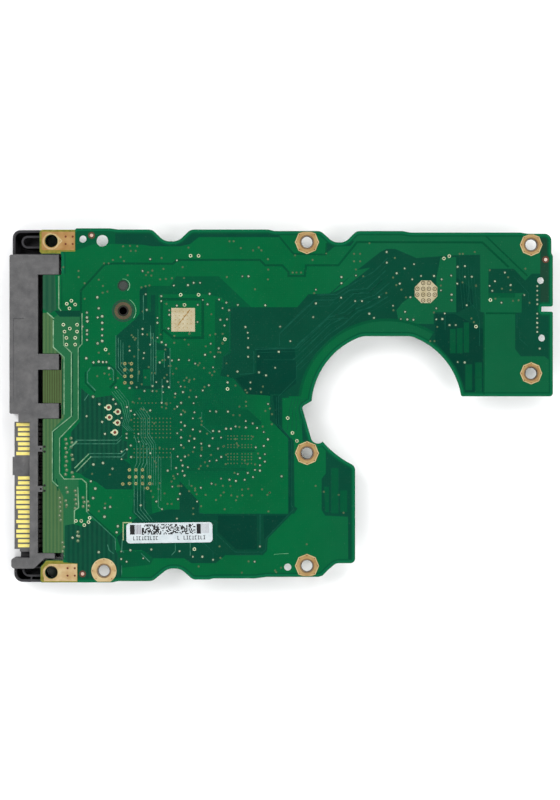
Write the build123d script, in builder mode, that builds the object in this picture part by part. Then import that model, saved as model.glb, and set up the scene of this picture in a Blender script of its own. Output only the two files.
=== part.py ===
"""Controller board assembly of a 3.5-inch hard disk drive, in millimetres.

The frame: +X runs from the plug edge to the head-contact edge, +Y is the board's other side, and +Z points
out of the drive, away from its casting. The origin is the middle of the assembly's footprint, level with the
underside of the plug, which is the lowest surface. Components hang under the board, between it and z = 0.
"""
from build123d import *
from math import cos, radians, sin
import os

# Driving dimensions
board_thickness = 1.2
board_underside = 5.0
board_top = board_underside + board_thickness
copper_thickness = 0.05
screw_hole_diameter = 3.3

plug_left = -71.35
plug_block_bottom = -2.2
plug_block_top = 39.6
plug_top = board_top + 0.2
spine_left, spine_right = -66.05, -63.9
shelf_right, shelf_thickness = -58.4, 1.4
moulding_wall = 0.65

tongue_left, tongue_start, tongue_end = -70.1, -4.37, -37.7
tongue_top, tongue_thickness = 5.5, 1.23
key_left, key_start, key_end = -70.6, -13.5, -18.3

contact_pitch, contact_width, contact_thickness = 1.27, 0.85, 0.2
first_signal_contact, first_power_contact = -5.0, -19.05
signal_count, power_count = 7, 15
long_signal_contacts = (0, 3, 6)
long_power_contacts = (2, 3, 4, 5, 6, 9, 11, 12)
fine_pitch, fine_width, first_fine_contact = 0.8, 0.45, -13.5

ear_screws = [(-60.35, 43.2), (-60.35, -43.8)]
# Centre and ring diameter of each screw position that has a round pad
ring_screws = [
    (-46.55, -43.4, 6.6), (6.75, 42.9, 6.35), (6.75, -12.5, 6.3),
    (6.75, -42.1, 6.35), (65.6, 42.2, 5.95), (65.6, 8.45, 5.85),
]
copper_edge_gap = 0.2
plug_end_ring_x = -40.0
# Centre and diameter of the holes that take no screw
locating_holes = [(-52.1, 43.7, 1.9), (-47.0, 43.25, 3.1), (1.7, -42.45, 1.9)]
guide_post_holes = [(68.1, 32.8, 1.8), (68.4, 17.7, 1.8)]
peg_hole, bushing_hole = (-41.5, 31.5, 2.7), (-41.5, 24.85, 2.8)

bay_centre, bay_radius, bay_flat_y = (27.7, -0.55), 19.8, 18.2

square_pad_centre, square_pad_side = (-25.75, 22.5), 6.2
octagon_pad_centre, octagon_pad_width = (38.0, 29.85), 5.9
label_centre, label_size, label_turn = (-29.35, -33.4), (22.6, 5.3), 0.8
controller_centre, controller_side, ball_pitch = (-10.8, -11.5), 17.0, 1.0
head_contact_y = [31.3, 30.1, 28.9, 27.7, 26.5, 24.1, 22.9, 21.7, 20.5, 19.3]
head_via_x = 67.2

os.makedirs("parts", exist_ok=True)


def save(piece, name):
    """Labels a finished piece and writes it as one STEP file."""
    piece.part.label = name
    export_step(piece.part, f"parts/{name}.step")


def notch(side_a, floor_a, floor_b, side_b, edge_y_a, edge_y_b, floor_y):
    """Four corners, each with its radius, of a tapered notch cut into a long edge."""
    return [
        (side_a, edge_y_a, 2.2), (floor_a, floor_y, 3.4),
        (floor_b, floor_y, 3.4), (side_b, edge_y_b, 2.2),
    ]


def arm_notch(y_high, y_low, x_floor=-57.7):
    """Four corners of a square notch in the plug edge, which one plug arm fills."""
    edge_x = -62.6
    return [
        (edge_x, y_high, 0.25), (x_floor, y_high, 0.3),
        (x_floor, y_low, 0.3), (edge_x, y_low, 0.25),
    ]


# The board's outline, counter-clockwise from inside the motor bay: right arm, top, plug edge and bottom.
# Each corner is (x, y, radius).
board_corners = (
    [(71.3, 2.4, 0.9), (71.3, 24.65, 0.5), (68.3, 24.65, 0.15), (68.3, 26.0, 0.15), (71.3, 26.0, 0.5)]
    + [(71.3, 39.2, 0.5), (70.9, 40.0, 0.5), (70.9, 45.1, 1.8), (64.4, 45.1, 1.0), (62.8, 45.4, 1.0)]
    + [(33.9, 45.4, 2.0), (31.8, 45.8, 2.0)]
    + notch(19.7, 16.8, 13.7, 10.35, 45.8, 45.8, 42.8)
    + [(-1.8, 45.8, 2.0), (-3.4, 46.2, 2.0)]
    + notch(-23.8, -27.1, -30.7, -33.9, 46.2, 46.2, 43.1)
    + [(-42.8, 46.2, 2.0), (-44.9, 46.5, 2.0), (-53.8, 46.5, 0.1), (-54.1, 46.15, 0.1)]
    + [(-63.45, 46.15, 0.9), (-63.45, 39.8, 0.9), (-57.7, 39.8, 0.3), (-57.7, 34.3, 0.3)]
    + [(-62.6, 34.3, 0.25)]
    + arm_notch(13.65, 9.3)
    + arm_notch(0.65, -3.5)
    + [(-62.6, -38.7, 0.25), (-57.15, -38.7, 0.3), (-57.15, -40.6, 0.3), (-61.7, -40.6, 0.4)]
    + [(-63.2, -42.4, 0.4), (-63.2, -46.45, 0.4), (-44.4, -46.45, 2.0), (-42.8, -46.1, 2.0)]
    + notch(-33.8, -29.7, -26.5, -23.2, -46.1, -45.7, -42.8)
    + [(-18.9, -45.7, 1.5), (-17.9, -45.4, 1.5), (-6.8, -45.4, 3.0), (-3.9, -45.0, 3.0)]
    + [(9.7, -45.0, 0.8), (10.8, -44.7, 0.8), (12.35, -43.1, 1.5), (14.4, -41.4, 2.0)]
    + [(19.4, -41.4, 1.25)]
)
inside_bay, bay_corner_end = (30.0, 2.4), (19.4, -16.9)

# Printed circuit board
with BuildPart() as circuit_board:
    with BuildSketch(Plane.XY.offset(board_underside)) as board_outline:
        with BuildLine():
            FilletPolyline(
                [inside_bay] + [(x, y) for x, y, _ in board_corners] + [bay_corner_end],
                radius=[r for _, _, r in board_corners],
            )
            ThreePointArc(bay_corner_end, (19.1, -16.0), (18.4, -15.4))
            ThreePointArc((18.4, -15.4), (14.6, -13.0), (10.9, -9.5))
            ThreePointArc((10.9, -9.5), (9.2, -9.95), (7.95, -8.95))
            Line((7.95, -8.95), (5.6, -0.95))
            ThreePointArc((5.6, -0.95), (5.65, -0.35), (6.05, 0.05))
            Polyline((6.05, 0.05), (9.5, 2.12), inside_bay)
        make_face()
        with BuildSketch(mode=Mode.SUBTRACT) as motor_bay:
            with Locations(bay_centre):
                Circle(bay_radius)
            with Locations((bay_centre[0], bay_flat_y)):
                Rectangle(2 * bay_radius, bay_radius, align=(Align.CENTER, Align.MIN), mode=Mode.SUBTRACT)
            with Locations((bay_centre[0], 0)):
                Rectangle(3 * bay_radius, 2 * bay_radius, align=(Align.CENTER, Align.MAX), mode=Mode.SUBTRACT)
            fillet(motor_bay.vertices().sort_by(Axis.Y)[-2:], 5.0)
        bay_lip = board_outline.vertices().sort_by_distance((47.3, 2.4, 0))[0]
        fillet(bay_lip, 0.5)
        with Locations(*[(x, y) for x, y, _ in ring_screws], *ear_screws):
            Circle(screw_hole_diameter / 2, mode=Mode.SUBTRACT)
        for x, y, diameter in [*locating_holes, *guide_post_holes, peg_hole, bushing_hole]:
            with Locations((x, y)):
                Circle(diameter / 2, mode=Mode.SUBTRACT)
    extrude(amount=board_thickness)
save(circuit_board, "circuit_board")

# The board's face without its holes, which cuts the rings short
board_face = Face(circuit_board.faces().sort_by(Axis.Z)[-1].outer_wire()).moved(Location((0, 0, -board_top)))


# Plug contacts: each is one bent strip, from the tongue, through the spine, to a foot under the board.
tail_left, foot_right = -63.5, -61.0


def strips(positions, front_x, width):
    """Adds the strips that lie on the tongue's upper face at the given y positions."""
    top = tongue_top + copper_thickness
    bottom = top - contact_thickness
    foot_top = board_underside
    foot_bottom = foot_top - contact_thickness
    with BuildSketch(*[Plane.XZ.offset(-y) for y in positions]) as profile:
        with BuildLine():
            Polyline(
                (front_x, bottom), (front_x + 0.1, top), (tail_left + contact_thickness, top),
                (tail_left + contact_thickness, foot_top), (foot_right, foot_top), (foot_right, foot_bottom),
                (tail_left, foot_bottom), (tail_left, bottom), (front_x, bottom),
            )
        make_face()
    extrude(profile.sketch, amount=width / 2, both=True)


def contact_group(first_y, count, long_ones):
    """Adds a row of strips, the long ones reaching nearer to the tongue's edge."""
    long_front, short_front = -69.7, -69.25
    row = [first_y - contact_pitch * i for i in range(count)]
    strips([row[i] for i in long_ones], long_front, contact_width)
    strips([row[i] for i in range(count) if i not in long_ones], short_front, contact_width)


with BuildPart() as signal_contacts:
    contact_group(first_signal_contact, signal_count, long_signal_contacts)
save(signal_contacts, "plug_signal_contacts")

with BuildPart() as power_contacts:
    contact_group(first_power_contact, power_count, long_power_contacts)
save(power_contacts, "plug_power_contacts")

with BuildPart() as secondary_contacts:
    tongue_bottom = tongue_top - tongue_thickness
    strip_bottom = tongue_bottom - copper_thickness
    strip_top = strip_bottom + contact_thickness
    foot_bottom = board_underside - contact_thickness
    fine_row = [first_fine_contact - fine_pitch * i for i in range(signal_count)]
    with BuildSketch(*[Plane.XZ.offset(-y) for y in fine_row]):
        with BuildLine():
            Polyline(
                (-69.7, strip_bottom), (-69.7, strip_top), (-63.3, strip_top), (-63.3, board_underside),
                (foot_right, board_underside), (foot_right, foot_bottom), (-63.1, foot_bottom),
                (-63.1, strip_bottom), (-69.7, strip_bottom),
            )
        make_face()
    extrude(amount=fine_width / 2, both=True)
save(secondary_contacts, "plug_secondary_contacts")


# Plug housing: a solid block beside the tongue, a spine behind it, arms in the board's notches, hollow ears.
ear_floor, rim_floor, ear_height = 0.8, 2.6, board_underside
rim_thickness = 0.5

with BuildPart() as plug_housing:
    with BuildSketch() as block_plan:
        with Locations((plug_left, plug_block_bottom)):
            Rectangle(spine_right - plug_left, plug_block_top - plug_block_bottom, align=Align.MIN)
        fillet(block_plan.vertices().group_by(Axis.X)[0], 0.5)
        with Locations((-69.0, tongue_start)):
            Rectangle(spine_right + 69.0, plug_block_bottom - tongue_start + 0.5, align=Align.MIN)
        with Locations((spine_left, -40.2)):
            Rectangle(spine_right - spine_left, 40.0, align=Align.MIN)
        for low_y, high_y in [(34.4, 39.6), (9.4, 13.55), (-3.4, 0.55)]:
            with Locations((spine_right - 0.5, low_y)):
                Rectangle(shelf_right - spine_right + 0.5, high_y - low_y, align=Align.MIN)
        with BuildLine():
            FilletPolyline(
                (-70.9, -40.0), (-65.0, -40.0), (-64.4, -38.8), (-59.5, -38.8), (-59.5, -40.15),
                (-62.15, -40.15), (-64.9, -42.8), (-70.9, -42.8),
                radius=[0.9, 0.3, 0.3, 0.15, 0.15, 0.4, 0.8, 0.9], close=True,
            )
        make_face()
    extrude(amount=plug_top)
    chamfer(plug_housing.faces().sort_by(Axis.Z)[-1].outer_wire().edges(), 0.12)
    # Shelf under the board's edge, and the web that carries the lower end of the tongue
    with BuildSketch():
        with Locations((spine_right - 0.5, -40.0)):
            Rectangle(shelf_right - spine_right + 0.5, plug_block_top + 40.0, align=Align.MIN)
    extrude(amount=shelf_thickness)
    with BuildSketch():
        with Locations((-68.65, -40.2)):
            Rectangle(spine_left + 68.65, 2.3, align=Align.MIN)
    extrude(amount=3.2)
    # Tongue with its polarising key, and the lip at its lower end
    with BuildSketch(Plane.XY.offset(tongue_top - tongue_thickness)) as tongue_plan:
        with Locations((tongue_left, tongue_end)):
            Rectangle(spine_left - tongue_left + 0.2, tongue_start - tongue_end + 0.1, align=Align.MIN)
        with Locations((key_left, key_end)):
            Rectangle(spine_left - key_left, key_start - key_end, align=Align.MIN)
        with Locations((-68.7, -38.4)):
            Rectangle(spine_left + 68.9, 0.8, align=Align.MIN)
    extrude(amount=tongue_thickness)
    # Small pegs over the gap beside the board
    with BuildSketch(Plane.XY.offset(plug_top - 0.6)) as pegs:
        with Locations((spine_right + 0.5, -11.35), (spine_right + 0.5, -21.9)):
            Rectangle(1.5, 1.5)
            with Locations((0.3, 0)):
                Circle(0.27, mode=Mode.SUBTRACT)
    extrude(amount=0.6)

    # Upper ear: a hollow corner whose inner rim is a slot with one round end
    with BuildSketch() as upper_ear:
        with Locations((-70.6, plug_block_top - 0.4)):
            Rectangle(13.8, 46.1 - plug_block_top + 0.4, align=Align.MIN)
        fillet(upper_ear.vertices().group_by(Axis.Y)[-1].sort_by(Axis.X)[0], 2.0)
    extrude(amount=ear_height)
    with BuildSketch(Plane.XY.offset(ear_floor)) as upper_pocket:
        with Locations((-69.95, 39.85)):
            Rectangle(6.75, 5.6, align=Align.MIN)
        fillet(upper_pocket.vertices().group_by(Axis.Y)[-1].sort_by(Axis.X)[0], 1.4)
        with Locations((-66.65, 42.95)):
            Circle(1.65, mode=Mode.SUBTRACT)
        with Locations((-66.65, 42.95)):
            Rectangle(4.0, 3.3, align=(Align.MIN, Align.CENTER), mode=Mode.SUBTRACT)
    extrude(amount=ear_height, mode=Mode.SUBTRACT)
    with BuildSketch(Plane.XY.offset(rim_floor)):
        with Locations((-66.65, 42.95)):
            Circle(1.65 - rim_thickness)
            Rectangle(3.2, 2 * (1.65 - rim_thickness), align=(Align.MIN, Align.CENTER))
    extrude(amount=ear_height, mode=Mode.SUBTRACT)

    # Lower ear: the same idea with an L-shaped inner rim and one cross web
    with BuildSketch() as lower_ear:
        with Locations((-70.2, -46.4)):
            Rectangle(13.5, 4.0, align=Align.MIN)
        fillet(lower_ear.vertices().group_by(Axis.Y)[0].sort_by(Axis.X)[0], 2.3)
    extrude(amount=ear_height)
    with BuildSketch(Plane.XY.offset(ear_floor)) as lower_pocket:
        with Locations((-69.55, -45.75)):
            Rectangle(6.5, 2.95, align=Align.MIN)
        fillet(lower_pocket.vertices().group_by(Axis.Y)[0].sort_by(Axis.X)[0], 1.7)
        with BuildSketch(mode=Mode.SUBTRACT) as lower_rim:
            with Locations((-68.1, -45.0)):
                Rectangle(6.0, 3.5, align=Align.MIN)
            fillet(lower_rim.vertices().group_by(Axis.Y)[0].sort_by(Axis.X)[0], 1.9)
        with Locations((-65.7, -45.4)):
            Rectangle(0.35, 1.2, mode=Mode.SUBTRACT)
    extrude(amount=ear_height, mode=Mode.SUBTRACT)
    with BuildSketch(Plane.XY.offset(rim_floor)) as lower_core:
        with Locations((-67.6, -44.5)):
            Rectangle(4.2, 1.7, align=Align.MIN)
        fillet(lower_core.vertices().group_by(Axis.Y)[0].sort_by(Axis.X)[0], 1.2)
    extrude(amount=ear_height - rim_floor, mode=Mode.SUBTRACT)
    with Locations(*[(x, y, ear_height) for x, y in ear_screws]):
        Hole(screw_hole_diameter / 2)

    # Coring pockets under the solid block, and the shallow L-shaped line on its face
    with BuildSketch():
        with Locations(((plug_left + spine_right) / 2, (plug_block_top + plug_block_bottom) / 2)):
            with GridLocations(1, 6.8, 1, 6):
                Rectangle(5.4, 5.9)
    extrude(amount=4.4, mode=Mode.SUBTRACT)
    with BuildSketch(Plane.XY.offset(plug_top - 0.12)):
        with Locations((-70.4, 1.5)):
            Rectangle(0.14, 21.4, align=Align.MIN)
        with Locations((-70.4, 22.76)):
            Rectangle(3.0, 0.14, align=Align.MIN)
    extrude(amount=0.3, mode=Mode.SUBTRACT)
    add(signal_contacts.part, mode=Mode.SUBTRACT)
    add(power_contacts.part, mode=Mode.SUBTRACT)
    add(secondary_contacts.part, mode=Mode.SUBTRACT)
save(plug_housing, "plug_housing")


# Bare gold and copper areas, on the outer face at `board_top` and under the board at `board_underside`
def ring_face(centre, diameter):
    """A gold ring around a screw hole: round near the plug, else eight-sided, and cut short at the board's border."""
    with Locations(centre):
        if centre[0] < plug_end_ring_x:
            Circle(diameter / 2)
        else:
            RegularPolygon(diameter / 2, 8)
        Circle(screw_hole_diameter / 2, mode=Mode.SUBTRACT)
    for border in (copper_edge_gap, -copper_edge_gap):
        with Locations((0, border)):
            add(board_face, mode=Mode.INTERSECT)


for name, level, direction in [
    ("outer_screw_rings", board_top, 1), ("inner_screw_rings", board_underside, -1),
]:
    with BuildPart() as screw_rings:
        for x, y, diameter in ring_screws:
            with BuildSketch(Plane.XY.offset(level)):
                ring_face((x, y), diameter)
            extrude(amount=copper_thickness * direction)
    save(screw_rings, name)

with BuildPart() as ear_pads:
    with BuildSketch(Plane.XY.offset(board_top)) as upper_pad:
        with Locations((-58.55, 43.2)):
            Rectangle(8.7, 4.8)
        fillet(upper_pad.vertices(), 0.3)
        with Locations(ear_screws[0]):
            Circle(screw_hole_diameter / 2 + 0.05, mode=Mode.SUBTRACT)
    extrude(amount=copper_thickness)
    with BuildSketch(Plane.XY.offset(board_top)) as lower_pad:
        with Locations((-57.95, -43.85)):
            Rectangle(8.7, 4.5)
        chamfer(lower_pad.vertices().group_by(Axis.X)[0].sort_by(Axis.Y)[-1], 1.3)
        with Locations(ear_screws[1]):
            Circle(screw_hole_diameter / 2 + 0.05, mode=Mode.SUBTRACT)
    extrude(amount=copper_thickness)
save(ear_pads, "ear_ground_pads")

with BuildPart() as square_pad:
    with BuildSketch(Plane.XY.offset(board_top)):
        with Locations(square_pad_centre):
            Rectangle(square_pad_side, square_pad_side)
    extrude(amount=copper_thickness)
save(square_pad, "square_thermal_pad")

with BuildPart() as octagon_pad:
    with BuildSketch(Plane.XY.offset(board_top)):
        with Locations(octagon_pad_centre):
            RegularPolygon(octagon_pad_width / 2, 8, major_radius=False, rotation=22.5)
    extrude(amount=copper_thickness)
save(octagon_pad, "octagonal_thermal_pad")

with BuildPart() as bushing_ring:
    with BuildSketch(Plane.XY.offset(board_top)):
        with Locations(bushing_hole[:2]):
            Circle(2.3)
            Circle(bushing_hole[2] / 2 + 0.05, mode=Mode.SUBTRACT)
    extrude(amount=copper_thickness)
save(bushing_ring, "bushing_ring")

with BuildPart() as fiducials:
    with BuildSketch(Plane.XY.offset(board_top)):
        with Locations((-49.8, 44.65), (-52.15, -44.2), (69.4, 38.3)):
            Circle(0.45)
    extrude(amount=copper_thickness)
save(fiducials, "fiducial_dots")

with BuildPart() as paper_label:
    with BuildSketch(Plane.XY.offset(board_top)):
        with Locations(Location((*label_centre, 0), (0, 0, label_turn))):
            RectangleRounded(*label_size, 0.9)
    extrude(amount=0.1)
save(paper_label, "barcode_label")

# Contact pads under the board, which the drive's own spring contacts press on
with BuildPart() as head_pads:
    with BuildSketch(Plane.XY.offset(board_underside)):
        with Locations(*[(head_via_x - 1.9, y) for y in head_contact_y]):
            RectangleRounded(2.4, 0.75, 0.15)
        with Locations(*[(head_via_x + 1.75, y) for y in head_contact_y if abs(y - 25.3) > 1.5]):
            RectangleRounded(1.9, 0.75, 0.15)
    extrude(amount=-copper_thickness)
save(head_pads, "head_contact_pads")

with BuildPart() as motor_pads:
    slant = 16.5
    with BuildSketch(Plane.XY.offset(board_underside)):
        with Locations(Location((3.0, -5.6, 0), (0, 0, slant))):
            with GridLocations(1, 2.1, 1, 4):
                RectangleRounded(3.2, 1.3, 0.3)
    extrude(amount=-copper_thickness)
save(motor_pads, "motor_contact_pads")


# Components under the board. Heights are measured from the board's underside.
def body_block(name, places, length, width, height, standoff=0.0, bevel=0.12):
    """Moulded or ceramic bodies of one kind, at (x, y, turn) places, with bevelled lower edges."""
    with BuildPart() as block:
        for x, y, turn in places:
            with BuildSketch(Plane.XY.offset(board_underside - standoff)):
                with Locations(Location((x, y, 0), (0, 0, turn))):
                    Rectangle(length, width)
            extrude(amount=standoff - height)
        chamfer(block.edges().group_by(Axis.Z)[0], bevel)
    save(block, name)


def end_caps(name, places, length, width, height, cap):
    """Metal ends of two-terminal parts: one solid at each end of each part's body."""
    with BuildPart() as caps:
        for x, y, turn in places:
            with BuildSketch(Plane.XY.offset(board_underside)):
                with Locations(Location((x, y, 0), (0, 0, turn))):
                    with GridLocations(length + cap, 1, 2, 1):
                        Rectangle(cap, width)
            extrude(amount=-height)
    save(caps, name)


def gull_leads(name, packages, half_x, half_y, pitch, per_side, width, rise, four_sides=False):
    """Bent metal leads of packages at (x, y), on both x sides, or on all four sides."""
    thickness = 0.14
    span = pitch * (per_side - 1)
    directions = [(1, 0), (-1, 0)] + ([(0, 1), (0, -1)] if four_sides else [])
    with BuildPart() as leads:
        for x, y in packages:
            for out_x, out_y in directions:
                reach = half_x if out_x else half_y
                planes = []
                for i in range(per_side):
                    along = i * pitch - span / 2
                    origin = (x + out_x * reach - out_y * along, y + out_y * reach + out_x * along)
                    planes.append(
                        Plane((*origin, board_underside), x_dir=(out_x, out_y, 0), z_dir=(-out_y, out_x, 0))
                    )
                with BuildSketch(*planes):
                    with BuildLine():
                        Polyline(
                            (0, rise + thickness), (0.32, rise + thickness), (0.6, thickness),
                            (1.05, thickness), (1.05, 0), (0.5, 0), (0.22, rise), (0, rise),
                            (0, rise + thickness),
                        )
                    make_face()
                extrude(amount=width / 2, both=True)
    save(leads, name)


ball_height = 0.35
body_block("main_controller", [(*controller_centre, 0)], controller_side, controller_side, 1.6, ball_height)
with BuildPart() as controller_balls:
    balls_per_side, open_middle = 15, 8
    with BuildSketch(Plane.XY.offset(board_underside)) as ball_field:
        with Locations(controller_centre):
            with GridLocations(ball_pitch, ball_pitch, balls_per_side, balls_per_side):
                Circle(0.27)
            Rectangle(open_middle * ball_pitch, open_middle * ball_pitch, mode=Mode.SUBTRACT)
    extrude(amount=-ball_height)
save(controller_balls, "controller_solder_balls")

body_block("cache_memory", [(-32.6, -6.0, 90)], 12.5, 8.0, 1.1, 0.1)

body_block("motor_driver", [(*square_pad_centre, 0)], 10.0, 10.0, 1.15, 0.1)
gull_leads("motor_driver_leads", [square_pad_centre], 5.0, 5.0, 0.5, 16, 0.22, 0.55, four_sides=True)

flash_place = (-9.5, 9.0)
body_block("flash_memory", [(*flash_place, 0)], 5.3, 5.2, 1.9, 0.1)
gull_leads("flash_memory_leads", [flash_place], 2.65, 2.6, 1.27, 4, 0.42, 0.9)

switch_places = [(-48.5, -27.0), (22.5, 32.5), (30.0, 38.5)]
body_block("power_switches", [(x, y, 0) for x, y in switch_places], 3.9, 4.9, 1.6, 0.1)
gull_leads("power_switch_leads", switch_places, 1.95, 2.45, 1.27, 4, 0.42, 0.75)

body_block("supply_regulator", [(*octagon_pad_centre, 0)], 7.0, 7.0, 0.95)

inductor_places = [(-49.5, 18.5, 0), (-49.5, 10.5, 0), (-2.0, 33.5, 0)]
body_block("power_inductors", inductor_places, 5.6, 5.2, 2.6, bevel=0.6)
end_caps("inductor_terminals", inductor_places, 5.6, 2.4, 2.2, 0.2)

bulk_places = [(-50.5, -9.0, 90), (-50.5, -18.5, 90), (-12.5, 26.0, 0), (-49.0, 29.5, 90), (48.0, 36.5, 0)]
body_block("bulk_capacitors", bulk_places, 6.9, 4.3, 2.9, 0.1, bevel=0.3)
end_caps("bulk_capacitor_terminals", bulk_places, 6.9, 2.4, 1.6, 0.2)

surge_places = [(-51.5, -36.0, 0), (-42.0, -36.0, 0)]
body_block("surge_diodes", surge_places, 4.6, 3.6, 2.3, 0.1, bevel=0.25)
end_caps("surge_diode_terminals", surge_places, 4.6, 2.1, 1.2, 0.35)

crystal_places = [(-10.8, -26.5, 0)]
body_block("clock_crystal", crystal_places, 5.0, 3.2, 1.2, bevel=0.3)

sensor_places = [(56.5, 30.0, 45), (-37.5, 40.5, 45), (11.5, -33.5, 45)]
body_block("shock_sensors", sensor_places, 4.2, 2.4, 1.5, bevel=0.2)

# Small ceramic parts stand in rows around the packages that they serve.
capacitor_places = (
    [(-22.5, -4.0 - 2.2 * i, 0) for i in range(6)]
    + [(-18.0 + 2.2 * i, 0.2, 90) for i in range(6)]
    + [(-32.0 + 2.4 * i, 31.6, 90) for i in range(6)]
    + [(31.0 + 2.3 * i, 24.3, 90) for i in range(5)]
    + [(1.5, -20.0 - 2.4 * i, 0) for i in range(5)]
)
capacitor_length, capacitor_width, capacitor_height, capacitor_cap = 1.1, 0.85, 0.85, 0.28
body_block("ceramic_capacitors", capacitor_places, capacitor_length, capacitor_width, capacitor_height, bevel=0.05)
end_caps(
    "ceramic_capacitor_ends", capacitor_places, capacitor_length, capacitor_width, capacitor_height, capacitor_cap
)

resistor_places = (
    [(-42.5 + 2.0 * i, 5.5, 90) for i in range(8)]
    + [(-38.0, -20.5 - 1.7 * i, 0) for i in range(6)]
    + [(43.5 + 2.0 * i, 25.0, 90) for i in range(6)]
    + [(61.0, 16.0 + 1.6 * i, 0) for i in range(5)]
    + [(-18.5 + 1.8 * i, 15.2, 90) for i in range(5)]
)
resistor_length, resistor_width, resistor_height, resistor_cap = 0.9, 0.7, 0.4, 0.25
body_block("chip_resistors", resistor_places, resistor_length, resistor_width, resistor_height, bevel=0.04)
end_caps("chip_resistor_ends", resistor_places, resistor_length, resistor_width, resistor_height, resistor_cap)

# Moulded block pegged into the board: one solid peg, and one hollow bushing around an open bore
with BuildPart() as pegged_block:
    block_height, peg_recess = 3.2, 0.25
    with BuildSketch(Plane.XY.offset(board_underside)):
        with Locations((-41.5, 28.2)):
            RectangleRounded(5.6, 13.2, 1.2)
    extrude(amount=-block_height)
    chamfer(pegged_block.edges().group_by(Axis.Z)[0], 0.3)
    with BuildSketch(Plane.XY.offset(board_underside)):
        with Locations(peg_hole[:2]):
            Circle(peg_hole[2] / 2 - 0.03)
    extrude(amount=board_thickness - peg_recess)
    with BuildSketch(Plane.XY.offset(board_underside - 2.4)):
        with Locations(bushing_hole[:2]):
            Circle(1.1)
    extrude(amount=2.4, mode=Mode.SUBTRACT)
save(pegged_block, "pegged_block")
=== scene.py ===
"""Looks for the controller board of a 3.5-inch hard disk drive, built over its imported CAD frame.

Lengths are millimetres in the frame's own axes, turned into metres where a mesh is made; only the lamps
are placed in metres. A track is (points, width), an area is (kind of mask, outline) and a via is (x, y).
The outer face carries solder mask over copper: bright where copper lies under it, dark where none does.
"""
import math
import random

import bmesh
import bpy
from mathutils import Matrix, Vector
from mathutils.geometry import delaunay_2d_cdt


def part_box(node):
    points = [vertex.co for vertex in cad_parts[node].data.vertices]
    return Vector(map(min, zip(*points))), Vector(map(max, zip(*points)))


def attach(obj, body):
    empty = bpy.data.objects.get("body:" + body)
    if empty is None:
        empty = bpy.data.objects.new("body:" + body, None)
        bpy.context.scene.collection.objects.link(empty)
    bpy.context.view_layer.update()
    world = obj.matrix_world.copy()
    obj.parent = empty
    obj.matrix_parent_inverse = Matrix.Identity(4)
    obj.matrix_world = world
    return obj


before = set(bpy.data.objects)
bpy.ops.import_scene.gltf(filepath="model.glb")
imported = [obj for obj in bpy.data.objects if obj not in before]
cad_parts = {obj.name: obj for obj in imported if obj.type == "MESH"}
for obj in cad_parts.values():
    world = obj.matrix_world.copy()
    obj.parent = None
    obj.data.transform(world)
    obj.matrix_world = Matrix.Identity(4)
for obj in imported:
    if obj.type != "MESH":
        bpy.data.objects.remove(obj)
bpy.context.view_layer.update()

MM = 0.001
CELL = 1000.0                     # a texture scale of 1000 repeats once a millimetre


def lowest(node):
    """Lowest corner of a CAD node, in mm."""
    return [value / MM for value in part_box(node)[0]]


def highest(node):
    """Highest corner of a CAD node, in mm."""
    return [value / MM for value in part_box(node)[1]]


def middle(node):
    """Middle of a CAD node in plan, in mm."""
    low, high = lowest(node), highest(node)
    return ((low[0] + high[0]) / 2, (low[1] + high[1]) / 2)


BOARD_TOP = highest("circuit_board")[2]
BOARD_UNDERSIDE = lowest("circuit_board")[2]
PAD_TOP = highest("square_thermal_pad")[2]
MASK_THICKNESS = 0.02
MASK_TOP = BOARD_TOP + MASK_THICKNESS
SUNK = 0.004                      # marks start this far inside what they lie on, so no gap shows
MARK_BASE = MASK_TOP - SUNK
PAD_MARK_BASE = PAD_TOP - 0.003
LINE_STEP = 0.0006                # crossing lines differ in height by this
STUDIO_GAIN = 1.5                 # a level matt face shows its own colour times this under the lights
METAL_LIFT = 1.3                  # a metal is lifted by this, since part of it mirrors the dark ceiling
CAMERA_OVER = (-0.33, 1.44)       # the camera looks straight down on this place
CAMERA_HEIGHT = 700               # above the board
FLOOR_REACH = 1800                # from the middle of the floor to its edges
LAMP_HEIGHT = 0.85                # metres
BLACK = (0, 0, 0, 1)
WHITE = (1, 1, 1, 1)
EAR_SCREWS = ((-60.35, 43.2), (-60.35, -43.8))  # middles of the two ground pads' screw holes
OPEN_BUSHING = (-41.5, 24.85)     # the open dark hole and the filled one above it, at the upper left
FILLED_HOLE = (-41.5, 31.5)


# ---------------------------------------------------------------- colour and material helpers
def linear(red, green, blue):
    """The shader colour that shows as these three 0-255 steps on a level face under the studio's lights."""
    def channel(step):
        value = step / 255
        light = value / 12.92 if value <= 0.04045 else ((value + 0.055) / 1.055) ** 2.4
        return light / STUDIO_GAIN
    return (channel(red), channel(green), channel(blue), 1.0)


def polished(red, green, blue):
    """A metal's shader colour."""
    return scaled(linear(red, green, blue), METAL_LIFT)


def scaled(colour, factor):
    """The same colour made lighter or darker."""
    return tuple(min(1.0, value * factor) for value in colour[:3]) + (1.0,)


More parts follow.
